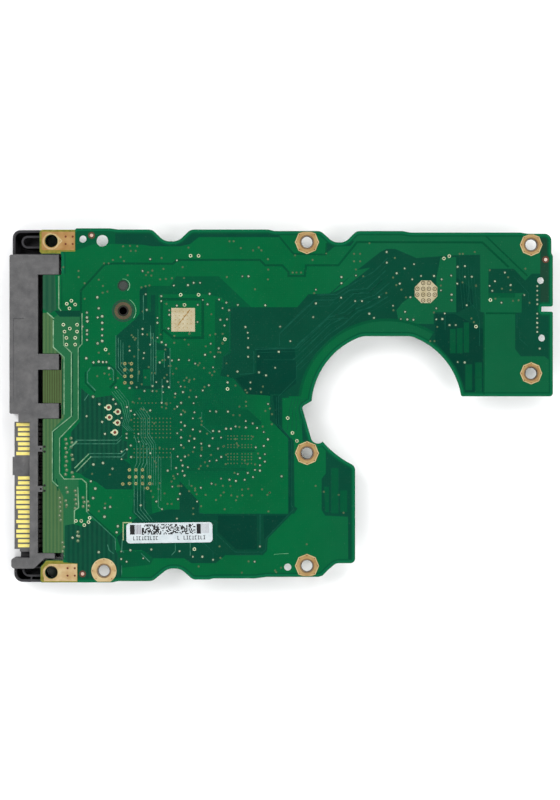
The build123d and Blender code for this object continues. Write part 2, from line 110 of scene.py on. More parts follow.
class Surface:
    """One procedural material: a Principled shader and short calls that add pattern nodes to it."""

    def __init__(self, name, **sockets):
        self.material = bpy.data.materials.new(name)
        self.material.use_nodes = True
        self.tree = self.material.node_tree
        self.shader = self.tree.nodes["Principled BSDF"]
        for socket, value in sockets.items():
            self.shader.inputs[socket.replace("_", " ")].default_value = value
        self.place = self.node("ShaderNodeTexCoord").outputs["Object"]

    def node(self, kind, **settings):
        """A new node with some of its settings changed."""
        new = self.tree.nodes.new(kind)
        for name, value in settings.items():
            setattr(new, name, value)
        return new

    def link(self, output, target):
        """A link from an output to an input."""
        self.tree.links.new(output, target)

    def stretched(self, along_x, along_y, along_z):
        """Object coordinates scaled along each axis, for streaks."""
        mapping = self.node("ShaderNodeMapping")
        self.link(self.place, mapping.inputs["Vector"])
        mapping.inputs["Scale"].default_value = (along_x, along_y, along_z)
        return mapping.outputs["Vector"]

    def noise(self, size, detail, vector=None, roughness=0.5):
        """Noise whose features are about `size` mm across."""
        noise = self.node("ShaderNodeTexNoise")
        noise.inputs["Scale"].default_value = CELL / size
        noise.inputs["Detail"].default_value = detail
        noise.inputs["Roughness"].default_value = roughness
        self.link(vector or self.place, noise.inputs["Vector"])
        return noise.outputs["Fac"]

    def waves(self, pitch, direction, distortion):
        """Parallel bands, one for each `pitch` mm."""
        waves = self.node("ShaderNodeTexWave", wave_type="BANDS", bands_direction=direction)
        waves.inputs["Scale"].default_value = CELL / pitch * math.pi / 10
        waves.inputs["Distortion"].default_value = distortion
        self.link(self.place, waves.inputs["Vector"])
        return waves.outputs["Fac"]

    def along(self, axis, start, end):
        """A value that goes from 0 at `start` mm to 1 at `end` mm along one axis."""
        split = self.node("ShaderNodeSeparateXYZ")
        self.link(self.place, split.inputs["Vector"])
        span = self.node("ShaderNodeMapRange", interpolation_type="SMOOTHSTEP")
        span.inputs["From Min"].default_value = start * MM
        span.inputs["From Max"].default_value = end * MM
        self.link(split.outputs[axis], span.inputs["Value"])
        return span.outputs["Result"]

    def ramp(self, value, *stops):
        """A colour for each value: stops are (position, colour)."""
        ramp = self.node("ShaderNodeValToRGB")
        ramp.color_ramp.elements[0].position = stops[0][0]
        ramp.color_ramp.elements[0].color = stops[0][1]
        ramp.color_ramp.elements[1].position = stops[-1][0]
        ramp.color_ramp.elements[1].color = stops[-1][1]
        for position, colour in stops[1:-1]:
            ramp.color_ramp.elements.new(position).color = colour
        self.link(value, ramp.inputs["Fac"])
        return ramp.outputs["Color"]

    def mix(self, factor, first, second):
        """Two colours mixed by a factor output."""
        mix = self.node("ShaderNodeMix", data_type="RGBA")
        self.link(factor, mix.inputs["Factor"])
        for socket, colour in ((mix.inputs[6], first), (mix.inputs[7], second)):
            if isinstance(colour, tuple):
                socket.default_value = colour
            else:
                self.link(colour, socket)
        return mix.outputs[2]

    def math(self, operation, first, second=0.5):
        """One arithmetic step on outputs or numbers."""
        step = self.node("ShaderNodeMath", operation=operation)
        for socket, value in zip(step.inputs, (first, second)):
            if isinstance(value, (int, float)):
                socket.default_value = value
            else:
                self.link(value, socket)
        return step.outputs["Value"]

    def times(self, first, second):
        """The product of two outputs or numbers."""
        return self.math("MULTIPLY", first, second)

    def span(self, value, low, high):
        """A 0-1 value spread from low to high, such as a roughness."""
        spread = self.node("ShaderNodeMapRange")
        spread.inputs["To Min"].default_value = low
        spread.inputs["To Max"].default_value = high
        self.link(value, spread.inputs["Value"])
        return spread.outputs["Result"]

    def specks(self, size, detail, low, high):
        """White specks on black, where noise rises from low to high."""
        return self.ramp(self.noise(size, detail), (low, BLACK), (high, WHITE))

    def colour(self, output):
        """Makes an output the base colour."""
        self.link(output, self.shader.inputs["Base Color"])

    def mottle(self, size, detail, first, second):
        """Base colour in blotches: first and second are (position, colour)."""
        self.colour(self.ramp(self.noise(size, detail), first, second))

    def uneven(self, size, detail, low, high):
        """Roughness that wanders between low and high."""
        self.link(self.span(self.noise(size, detail), low, high), self.shader.inputs["Roughness"])

    def grain(self, size, detail, depth, strength):
        """Fine relief all over."""
        self.bump(self.noise(size, detail), depth, strength)

    def edges(self, radius):
        """1 on edges sharper than `radius` mm and 0 on flat faces, for wear."""
        bevel = self.node("ShaderNodeBevel", samples=4)
        bevel.inputs["Radius"].default_value = radius * MM
        agreement = self.node("ShaderNodeVectorMath", operation="DOT_PRODUCT")
        self.link(bevel.outputs["Normal"], agreement.inputs[0])
        self.link(self.node("ShaderNodeNewGeometry").outputs["Normal"], agreement.inputs[1])
        worn = self.node("ShaderNodeMapRange")
        worn.inputs["From Min"].default_value = 0.99
        worn.inputs["From Max"].default_value = 0.8
        self.link(agreement.outputs["Value"], worn.inputs["Value"])
        return worn.outputs["Result"]

    def bump(self, height, depth, strength):
        """Relief `depth` mm deep."""
        bump = self.node("ShaderNodeBump")
        bump.inputs["Strength"].default_value = strength
        bump.inputs["Distance"].default_value = depth * MM
        self.link(height, bump.inputs["Height"])
        self.link(bump.outputs["Normal"], self.shader.inputs["Normal"])


# ---------------------------------------------------------------- materials
def solder_mask(name, base, shaded, dull=None):
    """Green lacquer over laminate or copper: glass weave, blotches, dust and fine handling marks.

    With a second colour, `dull`, the mask turns to it on the right and darkens where the tracks crowd.
    """
    mask = Surface(name, Roughness=0.34, Specular_IOR_Level=0.16)
    blotch = 11.0
    if dull is None:
        light, dark = base, scaled(base, shaded)
        tint = mask.ramp(mask.noise(blotch, 4), (0.3, dark), (0.7, light))
    else:
        side = mask.along("X", 2, 30)
        left = mask.ramp(mask.noise(blotch, 4), (0.3, scaled(base, shaded)), (0.7, base))
        right = mask.ramp(mask.noise(blotch * 1.3, 4), (0.3, scaled(dull, shaded)), (0.7, dull))
        middle = mask.times(mask.along("X", -44, -36), mask.along("X", -4, -14))
        level = mask.times(mask.along("Y", -24, -15), mask.along("Y", 22, 4))
        middle = mask.times(middle, level)
        crowded = mask.times(middle, mask.span(mask.noise(1.6, 5), 0.35, 1.1))
        tint = mask.mix(crowded, mask.mix(side, left, right), linear(0, 80, 54))
    weave = mask.times(mask.waves(0.55, "X", 0.6), mask.waves(0.55, "Y", 0.6))
    woven = mask.mix(mask.span(weave, 0.0, 0.16), tint, scaled(base, 1.5))
    specks = mask.specks(0.35, 2, 0.66, 0.78)
    mask.colour(mask.mix(mask.times(specks, 0.10), woven, linear(150, 190, 165)))
    mask.uneven(2.4, 5, 0.27, 0.4)
    relief = mask.math("ADD", mask.times(weave, 0.5), mask.noise(0.2, 3))
    mask.bump(relief, 0.01, 0.5)
    return mask.material


def striped_mask(name, base, stripe, pitch):
    """Mask on the plug edge, over the fine parallel tracks that run along it."""
    mask = Surface(name, Roughness=0.34, Specular_IOR_Level=0.16)
    bands = mask.waves(pitch, "X", 0.25)
    tint = mask.ramp(bands, (0.25, stripe), (0.7, base))
    mask.colour(mask.mix(mask.span(mask.noise(5, 4), 0.0, 0.45), tint, scaled(base, 1.25)))
    mask.uneven(1.5, 4, 0.3, 0.5)
    mask.bump(bands, 0.02, 0.4)
    return mask.material


def laminate_edge():
    """The board's own solid: mask on its faces, glass laminate along its cut edges."""
    board = Surface("board_laminate", Roughness=0.55, Specular_IOR_Level=0.3)
    geometry = board.node("ShaderNodeNewGeometry")
    split = board.node("ShaderNodeSeparateXYZ")
    board.link(geometry.outputs["Normal"], split.inputs["Vector"])
    flatness = board.math("POWER", board.math("ABSOLUTE", split.outputs["Z"]), 4.0)
    layers = board.waves(0.2, "Z", 0.4)
    cut = board.ramp(layers, (0.2, linear(20, 92, 55)), (0.8, linear(60, 130, 78)))
    face = board.ramp(board.noise(9, 4), (0.3, linear(0, 88, 52)), (0.7, linear(4, 108, 62)))
    board.colour(board.mix(flatness, cut, face))
    board.uneven(1.2, 4, 0.4, 0.65)
    board.grain(0.15, 3, 0.02, 0.5)
    return board.material


def track_and_highlight_mask(name, base, lit):
    """Mask drawn over a raised copper track, worn lighter in places; also the lines of painted highlight on
    lit edges.
    """
    track = Surface(name, Roughness=0.35, Specular_IOR_Level=0.2)
    track.mottle(1.6, 3, (0.3, base), (0.7, lit))
    track.uneven(0.7, 3, 0.28, 0.45)
    track.grain(0.15, 2, 0.01, 0.4)
    return track.material


def bare_metal(name, base, warm, metallic, rough, grain, tarnish=None):
    """Plated copper: fine grain, soft stains and a few rubbed spots."""
    metal = Surface(name, Metallic=metallic, Specular_IOR_Level=0.5)
    cloud = metal.ramp(metal.noise(2.2, 4), (0.32, warm), (0.68, base))
    stain = metal.specks(0.9, 5, 0.62, 0.8)
    metal.colour(metal.mix(metal.times(stain, 0.45), cloud, tarnish or scaled(warm, 0.55)))
    metal.uneven(0.6, 4, *rough)
    metal.grain(grain, 4, 0.02, 0.45)
    return metal.material


def contact_gold():
    """Bright hard gold on the plug's contacts, with wiping marks along each one; their tails are painted dark
    as the shade under the board's edge.
    """
    gold = Surface("contact_gold", Metallic=0.2, Specular_IOR_Level=0.6)
    streaks = gold.noise(0.12, 3, gold.stretched(0.12, 1, 1))
    shade = gold.ramp(streaks, (0.25, polished(246, 218, 104)), (0.55, polished(255, 240, 140)),
                      (0.85, polished(255, 250, 190)))
    # painted shade: the contacts darken to grey from X -66.4 to -65.6 and on towards the board, where they
    # run into shade under its edge
    tail = gold.along("X", -66.4, -65.6)
    gold.colour(gold.mix(tail, shade, linear(44, 42, 38)))
    gold.link(gold.span(streaks, 0.22, 0.4), gold.shader.inputs["Roughness"])
    gold.bump(streaks, 0.01, 0.5)
    return gold.material


def plug_moulding():
    """Glass-filled grey plastic: mottled, finely pitted and rubbed lighter on its edges, with painted shade
    low down and in the sunk ears.
    """
    plastic = Surface("plug_moulding", Roughness=0.6, Specular_IOR_Level=0.25)
    mottle = plastic.ramp(plastic.noise(3.2, 6, roughness=0.65), (0.3, linear(84, 84, 85)),
                          (0.7, linear(112, 111, 111)))
    flecks = plastic.specks(0.28, 2, 0.62, 0.75)
    flecked = plastic.mix(plastic.times(flecks, 0.28), mottle, linear(150, 148, 150))
    worn = plastic.mix(plastic.times(plastic.edges(0.18), 0.45), flecked, linear(138, 137, 140))
    # painted shade: darker from 4.2 mm down to 2 mm above the floor, and where the ears sink below 6 mm round
    # the screw holes
    sunk = plastic.along("Z", 6.0, 5.2)
    ears = plastic.math("ADD", plastic.along("Y", 39.3, 39.8), plastic.along("Y", -39.3, -39.8))
    low_down = plastic.along("Z", 4.2, 2.0)
    dark = plastic.math("MAXIMUM", plastic.times(sunk, ears), low_down)
    plastic.colour(plastic.mix(dark, worn, linear(56, 55, 58)))
    plastic.uneven(0.8, 4, 0.5, 0.75)
    plastic.grain(0.22, 4, 0.04, 0.6)
    return plastic.material


def label_paper():
    """Coated white label with faint fibre and a soft grey cast."""
    paper = Surface("label_paper", Roughness=0.55, Specular_IOR_Level=0.35)
    paper.mottle(1.8, 5, (0.3, linear(206, 218, 221)), (0.7, linear(228, 236, 239)))
    paper.uneven(0.4, 3, 0.48, 0.62)
    paper.grain(0.18, 4, 0.01, 0.4)
    return paper.material


def ink_and_painted_light(name, colour, spread=1.5):
    """Thermal print, and the flat colour of painted shades and painted highlights: dark with slightly uneven
    cover.
    """
    ink = Surface(name, Roughness=0.6, Specular_IOR_Level=0.3)
    ink.mottle(0.5, 3, (0.35, colour), (0.75, scaled(colour, spread)))
    ink.grain(0.1, 2, 0.005, 0.3)
    return ink.material


def moulded_package(name, base, rough=(0.42, 0.62)):
    """Epoxy chip body: fine speckle and a satin, slightly uneven face."""
    epoxy = Surface(name, Specular_IOR_Level=0.35)
    speckle = epoxy.ramp(epoxy.noise(0.14, 3), (0.35, scaled(base, 0.8)), (0.7, scaled(base, 1.35)))
    epoxy.colour(epoxy.mix(epoxy.span(epoxy.noise(2.5, 4), 0.0, 0.25), speckle, scaled(base, 2.2)))
    epoxy.uneven(0.9, 4, *rough)
    epoxy.grain(0.12, 3, 0.015, 0.5)
    return epoxy.material


def fired_ceramic(name, base, lit):
    """Chip ceramic: smooth and slightly speckled."""
    ceramic = Surface(name, Specular_IOR_Level=0.4)
    ceramic.mottle(0.35, 3, (0.3, base), (0.7, lit))
    ceramic.uneven(0.5, 3, 0.3, 0.5)
    ceramic.grain(0.2, 2, 0.01, 0.3)
    return ceramic.material


def thinned_mask():
    """Olive mask where it runs thin over copper."""
    olive = Surface("mask_thinned_on_copper", Roughness=0.4, Specular_IOR_Level=0.4)
    olive.mottle(0.9, 4, (0.3, linear(112, 112, 24)), (0.7, linear(150, 142, 52)))
    olive.uneven(0.5, 3, 0.35, 0.55)
    olive.grain(0.25, 3, 0.015, 0.5)
    return olive.material


def studio_floor():
    """Plain pale floor with the faintest paper tooth."""
    floor = Surface("studio_floor", Roughness=0.9, Specular_IOR_Level=0.1)
    floor.mottle(40, 3, (0.3, (0.93, 0.93, 0.93, 1)), (0.7, (0.96, 0.96, 0.96, 1)))
    floor.grain(2, 3, 0.01, 0.2)
    return floor.material


MASKS = {
    "pour": solder_mask("mask_over_copper", linear(1, 101, 57), 0.88, dull=linear(13, 98, 62)),
    "sheltered": solder_mask("mask_over_split_plane", linear(1, 86, 54), 0.88),
    "clear": solder_mask("mask_over_laminate", linear(4, 73, 53), 0.86),
    "deep": solder_mask("mask_over_inner_void", linear(0, 63, 48), 0.88),
    "reddish": solder_mask("mask_at_board_corner", linear(28, 68, 50), 0.86),
    # the lighter band along the board's edge is a painted highlight where the edge catches the light
    "edge": solder_mask("mask_with_painted_edge_highlight", linear(8, 106, 68), 0.9),
    "lined": striped_mask("mask_over_inner_tracks", linear(8, 76, 54), linear(0, 62, 46), 1.24),
    # painted sheen: the yellow-olive tone of the strip beside the plug and of its bars stands for the glare
    # of the contacts' reflection; the stripes are the real tracks under the mask
    "plug_strip": striped_mask("mask_over_edge_tracks_and_sheen", linear(78, 112, 70), linear(56, 98, 62), 0.95),
    "plug_dim": striped_mask("mask_at_plug_top", linear(38, 88, 62), linear(20, 76, 54), 1.5),
    "plug_inner": solder_mask("mask_beside_plug", linear(38, 108, 68), 0.88),
    "plug_bars": striped_mask("mask_over_plug_bars_and_sheen", linear(80, 104, 62), linear(64, 70, 40), 0.62),
}


# ---------------------------------------------------------------- mesh helpers
def new_object(name, mesh_data, material):
    """Makes an object from a bmesh in mm."""
    bmesh.ops.recalc_face_normals(mesh_data, faces=mesh_data.faces)
    bmesh.ops.scale(mesh_data, vec=(MM, MM, MM), verts=mesh_data.verts)
    mesh = bpy.data.meshes.new(name)
    mesh_data.to_mesh(mesh)
    mesh_data.free()
    mesh.materials.append(material)
    made = bpy.data.objects.new(name, mesh)
    bpy.context.scene.collection.objects.link(made)
    return made


def finished_piece(name, mesh_data, material):
    """Makes one piece of the looks and hands it to the frame."""
    piece = new_object(name, mesh_data, material)
    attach(piece, "root")


def stack(mesh_data, loops):
    """Joins equal loops of (x, y, z) from bottom to top into one closed skin."""
    rings = [[mesh_data.verts.new(point) for point in loop] for loop in loops]
    count = len(rings[0])
    for lower, upper in zip(rings, rings[1:]):
        for i in range(count):
            j = (i + 1) % count
            mesh_data.faces.new((lower[i], lower[j], upper[j], upper[i]))
    mesh_data.faces.new(list(reversed(rings[0])))
    mesh_data.faces.new(rings[-1])


def circle(centre, radius, z, sides):
    """Points round a circle."""
    steps = [2 * math.pi * i / sides for i in range(sides)]
    return [(centre[0] + radius * math.cos(a), centre[1] + radius * math.sin(a), z) for a in steps]


def rectangle(x1, y1, x2, y2):
    """The four corners between two opposite ones."""
    return [(x1, y1), (x2, y1), (x2, y2), (x1, y2)]


def flat(points):
    """The same points without their height."""
    return [(point[0], point[1]) for point in points]


def arc(centre, radius, degrees):
    """Points on a circle at the given angles."""
    angles = [math.radians(angle) for angle in degrees]
    return [(centre[0] + radius * math.cos(a), centre[1] + radius * math.sin(a)) for a in angles]


def add_plate(mesh_data, outline, low, high):
    """A flat plate with the given outline."""
    stack(mesh_data, [[(x, y, low) for x, y in outline], [(x, y, high) for x, y in outline]])


def add_dome(mesh_data, centre, radius, low, height, sides=10):
    """A low round bump."""
    stack(mesh_data, [
        circle(centre, radius, low, sides), circle(centre, radius * 0.92, low + height * 0.55, sides),
        circle(centre, radius * 0.6, low + height, sides),
    ])


def add_ring(mesh_data, centre, inner, outer, low, high, sides=16):
    """A flat ring with a rounded shoulder."""
    crest = (inner + outer) / 2
    loops = [(inner, low), (outer, low), ((outer + crest) / 2, high), ((inner + crest) / 2, high)]
    rings = []
    for radius, z in loops:
        rings.append([mesh_data.verts.new(point) for point in circle(centre, radius, z, sides)])
    for lower, upper in zip(rings, rings[1:] + rings[:1]):
        for i in range(sides):
            j = (i + 1) % sides
            mesh_data.faces.new((lower[i], lower[j], upper[j], upper[i]))


def dome_piece(name, centres, radius, base, height, sides, material):
    """One piece made of equal bumps."""
    mesh_data = bmesh.new()
    for centre in centres:
        add_dome(mesh_data, centre, radius, base, height, sides)
    finished_piece(name, mesh_data, material)


def mitres(points):
    """For each point of a line, the step that moves the line one unit to its left there."""
    steps = []
    for i, point in enumerate(points):
        before = (point - points[i - 1]).normalized() if i else None
        after = (points[i + 1] - point).normalized() if i + 1 < len(points) else None
        direction = ((before or after) + (after or before)).normalized()
        square = Vector((-direction.y, direction.x))
        squeeze = max(0.4, square.dot(Vector((-before.y, before.x)))) if before and after else 1.0
        steps.append(square / squeeze)
    return steps


def add_track(mesh_data, points, width, low, high):
    """A strip that follows a line of points, mitred at its corners."""
    points = [Vector(point) for point in points]
    steps = mitres(points)
    left = [point + step * width / 2 for point, step in zip(points, steps)]
    right = [point - step * width / 2 for point, step in zip(points, steps)]
    for i in range(len(points) - 1):
        corners = [left[i], right[i], right[i + 1], left[i + 1]]
        add_plate(mesh_data, [(c.x, c.y) for c in corners], low, high)


def side_by_side(points, count, gap, width):
    """A bundle of (points, width) tracks: a line and its copies, each `gap` mm further to the left."""
    points = [Vector(point) for point in points]
    pairs = list(zip(points, mitres(points)))
    return [([tuple(point + step * gap * i) for point, step in pairs], width) for i in range(count)]


def signed_area(outline):
    """Positive for a counter-clockwise outline."""
    pairs = zip(outline, outline[1:] + outline[:1])
    return sum(x1 * y2 - x2 * y1 for (x1, y1), (x2, y2) in pairs) / 2


def face_outlines(node, z):
    """The closed outlines, in mm, of a CAD node's flat face at height z: the outer one first."""
    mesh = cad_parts[node].data
    level = lambda face: all(abs(mesh.vertices[v].co.z / MM - z) < 0.002 for v in face.vertices)
    key = lambda v: (round(mesh.vertices[v].co.x / MM, 3), round(mesh.vertices[v].co.y / MM, 3))
    edges = {}
    for face in filter(level, mesh.polygons):
        corners = [key(v) for v in face.vertices]
        for start, end in zip(corners, corners[1:] + corners[:1]):
            if edges.get(end) and start in edges[end]:
                edges[end].remove(start)
            else:
                edges.setdefault(start, []).append(end)
    outlines = []
    while any(edges.values()):
        start = next(point for point, ends in edges.items() if ends)
        outline, point = [], start
        while edges.get(point):
            outline.append(point)
            point = edges[point].pop()
        outlines.append(outline)
    return sorted(outlines, key=lambda outline: -abs(signed_area(outline)))


def border(outline, width):
    """Outlines that together cover everything within `width` of a closed outline."""
    pieces = []
    for (x1, y1), (x2, y2) in zip(outline, outline[1:] + outline[:1]):
        along = Vector((x2 - x1, y2 - y1))
        if along.length > 0.002:
            across = Vector((-along.y, along.x)).normalized() * width
            corners = [(x1, y1), (x2, y2), (x2 + across.x, y2 + across.y), (x1 + across.x, y1 + across.y)]
            pieces.append(corners)
            if along.length > 0.4:
                pieces += [flat(circle(end, width, 0, 8)) for end in ((x1, y1), (x2, y2))]
    return pieces


def painted_areas(outline, holes, layers):
    """Splits the board's face by layers of (key, outline), later ones on top.

    Returns {key: list of triangles}, with nothing outside the outline or inside a hole.
    """
    painted = [(key, shape) for key, shape in layers] + [(None, hole) for hole in holes]
    shapes = [outline] + [shape for _, shape in painted]
    keys = ["pour"] + [key for key, _ in painted]
    points, faces = [], []
    for shape in shapes:
        shape = shape if signed_area(shape) > 0 else list(reversed(shape))
        faces.append(list(range(len(points), len(points) + len(shape))))
        points.extend(Vector(point) for point in shape)
    vertices, _, cells, _, _, sources = delaunay_2d_cdt(points, [], faces, 1, 1e-4)
    areas = {}
    for cell, source in zip(cells, sources):
        if 0 in source:
            key = keys[max(source)]
            if key:
                areas.setdefault(key, []).append([tuple(vertices[v]) for v in cell])
    return areas


def add_sheet(mesh_data, triangles, low, high):
    """A closed sheet over triangles that share their corners."""
    corners, edges = {}, {}

    def corner(point, z):
        key = (round(point[0], 4), round(point[1], 4), z)
        if key not in corners:
            corners[key] = mesh_data.verts.new((point[0], point[1], z))
        return corners[key]

    for triangle in triangles:
        upper = [corner(point, high) for point in triangle]
        lower = [corner(point, low) for point in triangle]
        if len(set(upper)) < 3 or mesh_data.faces.get(upper):
            continue
        mesh_data.faces.new(upper)
        mesh_data.faces.new(list(reversed(lower)))
        for i in range(3):
            j = (i + 1) % 3
            edge = frozenset((upper[i], upper[j]))
            edges[edge] = None if edge in edges else (upper[i], lower[i], lower[j], upper[j])
    for wall in edges.values():
        if wall and not mesh_data.faces.get(wall):
            mesh_data.faces.new(wall)
    bmesh.ops.dissolve_limit(mesh_data, angle_limit=0.001, verts=mesh_data.verts, edges=mesh_data.edges)


# ---------------------------------------------------------------- what lies under the mask
def top_side_areas():
    """Places on the upper part of the outer face where no copper pour lies under the mask."""
    return [
        ("sheltered", [(-54.2, 47), (-54.2, 40.9), (-57.9, 38.5), (-56, 40), (-49, 42.4), (-43.6, 42.4),
                       (-43.6, 47)]),
        ("clear", [(-43.6, 47), (-43.6, 42.4), (-36.5, 42.2), (-34, 41.8), (-26.5, 41.8), (-23.9, 42.4),
                   (-21.6, 44.2), (-0.4, 44.2), (-0.4, 47)]),
        ("clear", [(12, 43.2), (12, 40.1), (14, 41.7), (18.2, 41.9), (19.2, 43.2)]),
        ("sheltered", [(-37.2, 21), (-37.2, 30.2), (-36.2, 31.4), (-29.2, 31.4), (-27.6, 33.9), (-16.4, 33.9),
                   (-7.9, 25.8), (-13.3, 25.8), (-16, 28.5), (-20, 29.2), (-35.2, 29.2), (-35.4, 23)]),
        ("sheltered", [(-35.4, 29.2), (-32.2, 29.2), (-32.2, 17), (-33.6, 17), (-37.2, 21)]),
        ("clear", [(-37.2, 21), (-37.2, 30.2), (-36.2, 31.0), (-35.2, 31.0), (-35.2, 19.6)]),
        ("clear", [(-34.2, 29.0), (-33.1, 29.0), (-33.1, 17.0), (-34.2, 18.0)]),
        ("clear", [(-43.4, 18.2), (-38.4, 22.6), (-36.8, 24.6), (-33.6, 24.6), (-33.4, 20), (-37, 18)]),
        ("clear", [(-43.4, 18.2), (-41.2, 20.2), (-38.2, 21.0), (-37.2, 21), (-33.6, 17), (-29.4, 15),
                   (-28.9, 4.5), (-38.5, 4.2), (-41, 6.3), (-43.4, 9.6)]),
        ("pour", rectangle(-33, 14.5, -30.6, 11)),
        ("pour", rectangle(-36.3, 9.5, -34.4, 5.2)),
        ("sheltered", [(-17.4, 28), (-13.2, 26), (-13.2, 13.8), (-16, 7.8), (-17.4, 10)]),
        # the wide dark area between the upper pour and the motor bay
        ("clear", [(-7.9, 25.8), (4.2, 25.8), (7.1, 29.2), (12.7, 29.4), (20, 35.6), (26, 40.3), (27.6, 41.1),
                   (29.9, 41.1), (35.5, 38.7), (45, 39.4), (52.2, 39.6), (52.3, 24.6), (53.3, 24.4),
                   (53.3, 2.0), (30, 2.0), (0, 2), (-3.2, 2.7), (-9.2, 2.9), (-12.5, 7.1), (-16, 7.8),
                   (-15.1, 12.7), (-13.3, 13.8), (-13.3, 25.8)]),
        ("deep", [(-6.5, 15.2), (3.5, 15.2), (3.9, 10.1), (3.9, 5.8), (-0.7, 2.3), (-8.9, 3.1), (-12, 7.2),
                  (-6.5, 8.5)]),
        ("deep", [(46, 24.3), (50.5, 26.5), (50.5, 30), (46, 33.6)]),
        ("deep", [(40.4, 24.0), (45.6, 24.0), (53, 20), (53, 3), (47.5, 2), (46, 10), (40.4, 16.8)]),
        ("pour", [(30.2, 25.0), (31.8, 27), (34, 28.6), (40.7, 28.6), (40.7, 33.3), (41.8, 38.9),
                  (45.9, 38.9), (45.9, 24.5), (40, 24.5), (40, 21.4), (31, 21.4)]),
        ("sheltered", rectangle(54.4, 29.5, 61.4, 28.3)),
        ("pour", [(13.2, 29.4), (17.5, 31.6), (23.4, 36.2), (20, 35.6)]),
        ("sheltered", rectangle(44.3, 13.7, 45.8, 20.1)),
        ("sheltered", rectangle(46.1, 13.7, 47.6, 20.3)),
        ("sheltered", rectangle(47.9, 13.9, 49.3, 21.8)),
        ("sheltered", rectangle(48.3, 4.0, 50.1, 10.8)),
        ("sheltered", rectangle(50.9, 3.5, 52.7, 11.3)),
        ("clear", [(54.4, 35.9), (61, 35.9), (64, 32.8), (64, 29.5), (54.4, 29.5)]),
        ("clear", [(61.4, 24.4), (63.1, 24.4), (63.1, 29), (64, 29.5), (64, 32.8), (65.8, 34.6), (68, 34.6),
                   (68, 44.5), (72, 46), (72, 10.6), (69.1, 12.9), (62.9, 12.9), (61.4, 14.8)]),
        ("reddish", rectangle(68.0, 46, 72, 26.2)),
    ]


def bay_ring_areas():
    """The ring of pour round the motor bay, and the corridor of tracks beside it."""
    inner, middle, outer = [arc((27.7, -0.55), radius, range(58, 198, 6)) for radius in (17.0, 22.7, 23.4)]
    return [
        ("pour", outer + inner[::-1]),
        ("sheltered", outer + middle[::-1]),
        ("pour", [(2.0, 2.4), (6, 2.4), (6.4, -1.2), (8.6, -9.4), (3.9, -9.2), (2.0, -7.0)]),
        ("clear", [(-2.9, 3.0), (0.3, 3.0), (0.3, -6.1), (3.3, -9.3), (3.5, -26.5), (4.3, -27), (3.4, -28.4),
                   (1.8, -28.4), (1.8, -8.6), (-1.5, -5.2), (-3.0, -3.8)]),
        ("deep", [(-2.2, 2.6), (-0.3, 2.6), (-0.3, -5.9), (2.5, -8.9), (2.5, -27.5), (2.0, -28.2),
                  (2.0, -8.8), (-1.0, -5.6), (-1.4, -4)]),
        ("clear", [(5.2, -0.2), (6.6, -0.6), (9.2, -9.6), (5.6, -9.4)]),
    ]


def lower_side_areas():
    """Places on the lower part of the outer face where no copper pour lies under the mask."""
    return [
        ("clear", [(-26.7, -19.8), (-21.5, -25.3), (-21.5, -28.4), (2.0, -28.4), (3.8, -27.4), (-3.5, -34.9),
                   (-3.7, -38.1), (-4.8, -39.3), (-14.7, -39.3), (-17.2, -41.4), (-23.6, -41.4),
                   (-25.5, -40.1), (-34.3, -40.1), (-36.5, -38), (-42, -38), (-43.2, -34.6), (-38.2, -29.6),
                   (-30, -27.3), (-26.7, -27.3)]),
        ("deep", [(-16.6, -28.9), (-6.4, -28.9), (-6.4, -37.8), (-11.8, -37.8), (-16.6, -33.2)]),
        ("deep", [(-4.7, -28.9), (1.6, -28.9), (-4.5, -35.2)]),
        ("lined", [(-55.6, -30.8), (-51.9, -31.9), (-50, -30), (-48.5, -30.5), (-43.6, -35), (-43.4, -38.4),
                   (-41.9, -40), (-42.1, -47), (-53.6, -47), (-53.6, -43), (-57, -40.3), (-56.8, -31.6)]),
        ("clear", [(-52.5, -18.1), (-48, -14.1), (-41.4, -14.1), (-39.5, -15.6), (-39, -22), (-46, -22),
                   (-48.5, -20.1), (-51.5, -18.9)]),
        ("lined", [(-52.6, 4.6), (-49.5, 1.9), (-44.5, 2.7), (-42.2, 0), (-41.3, -3), (-42, -9),
                   (-40.3, -9.6), (-40.3, -14.1), (-48, -14.1), (-52.5, -18), (-55.2, -17.2), (-55.2, -7),
                   (-52.8, -4.2)]),
        ("sheltered", [(-42, -9), (-41, -2.5), (-38.6, -0.5), (-36, -3), (-34.4, -8), (-34.6, -18),
                       (-33.8, -28.5), (-37.8, -29.6), (-39.2, -28), (-38.4, -20), (-39.6, -15.5),
                       (-40.3, -9.6)]),
        ("clear", [(-38.7, -22.2), (-35.8, -22.2), (-35.4, -29.2), (-37.6, -29.5), (-38.7, -28.3)]),
        ("sheltered", [(-20.3, -1.1), (-8.6, -1.1), (-5.1, -4.4), (-5.4, -5.2), (-19.6, -5.2)]),
        ("sheltered", [(-24.5, -16.4), (-9.5, -16.4), (-8.9, -17.2), (-24.5, -17.2)]),
        ("sheltered", rectangle(-22.5, -11.6, -7, -12.2)),
        ("sheltered", rectangle(-26.2, 1.8, -21, -0.2)),
        ("sheltered", [(-24.9, -5.6), (-20.1, -5.6), (-19.6, -10.6), (-24.6, -10.6)]),
        ("clear", [(11.7, -9), (11.7, -17.8), (10.6, -19.3), (10.6, -27.5), (11.5, -28.9), (17.5, -29.2),
                   (17.6, -42), (22, -42), (22, -9)]),
        ("sheltered", [(11.2, -21.3), (12.5, -21.3), (12.5, -28), (11.6, -28)]),
        ("sheltered", rectangle(13.1, -16.4, 15.0, -28.3)),
        ("sheltered", rectangle(15.5, -22.3, 17.3, -27.9)),
        ("sheltered", [(-43.2, -38.2), (-36, -38.2), (-33.5, -40.2), (-34.4, -41.8), (-41.8, -42.6)]),
        ("pour", rectangle(-1.6, -39.3, 17.4, -42)),
    ]


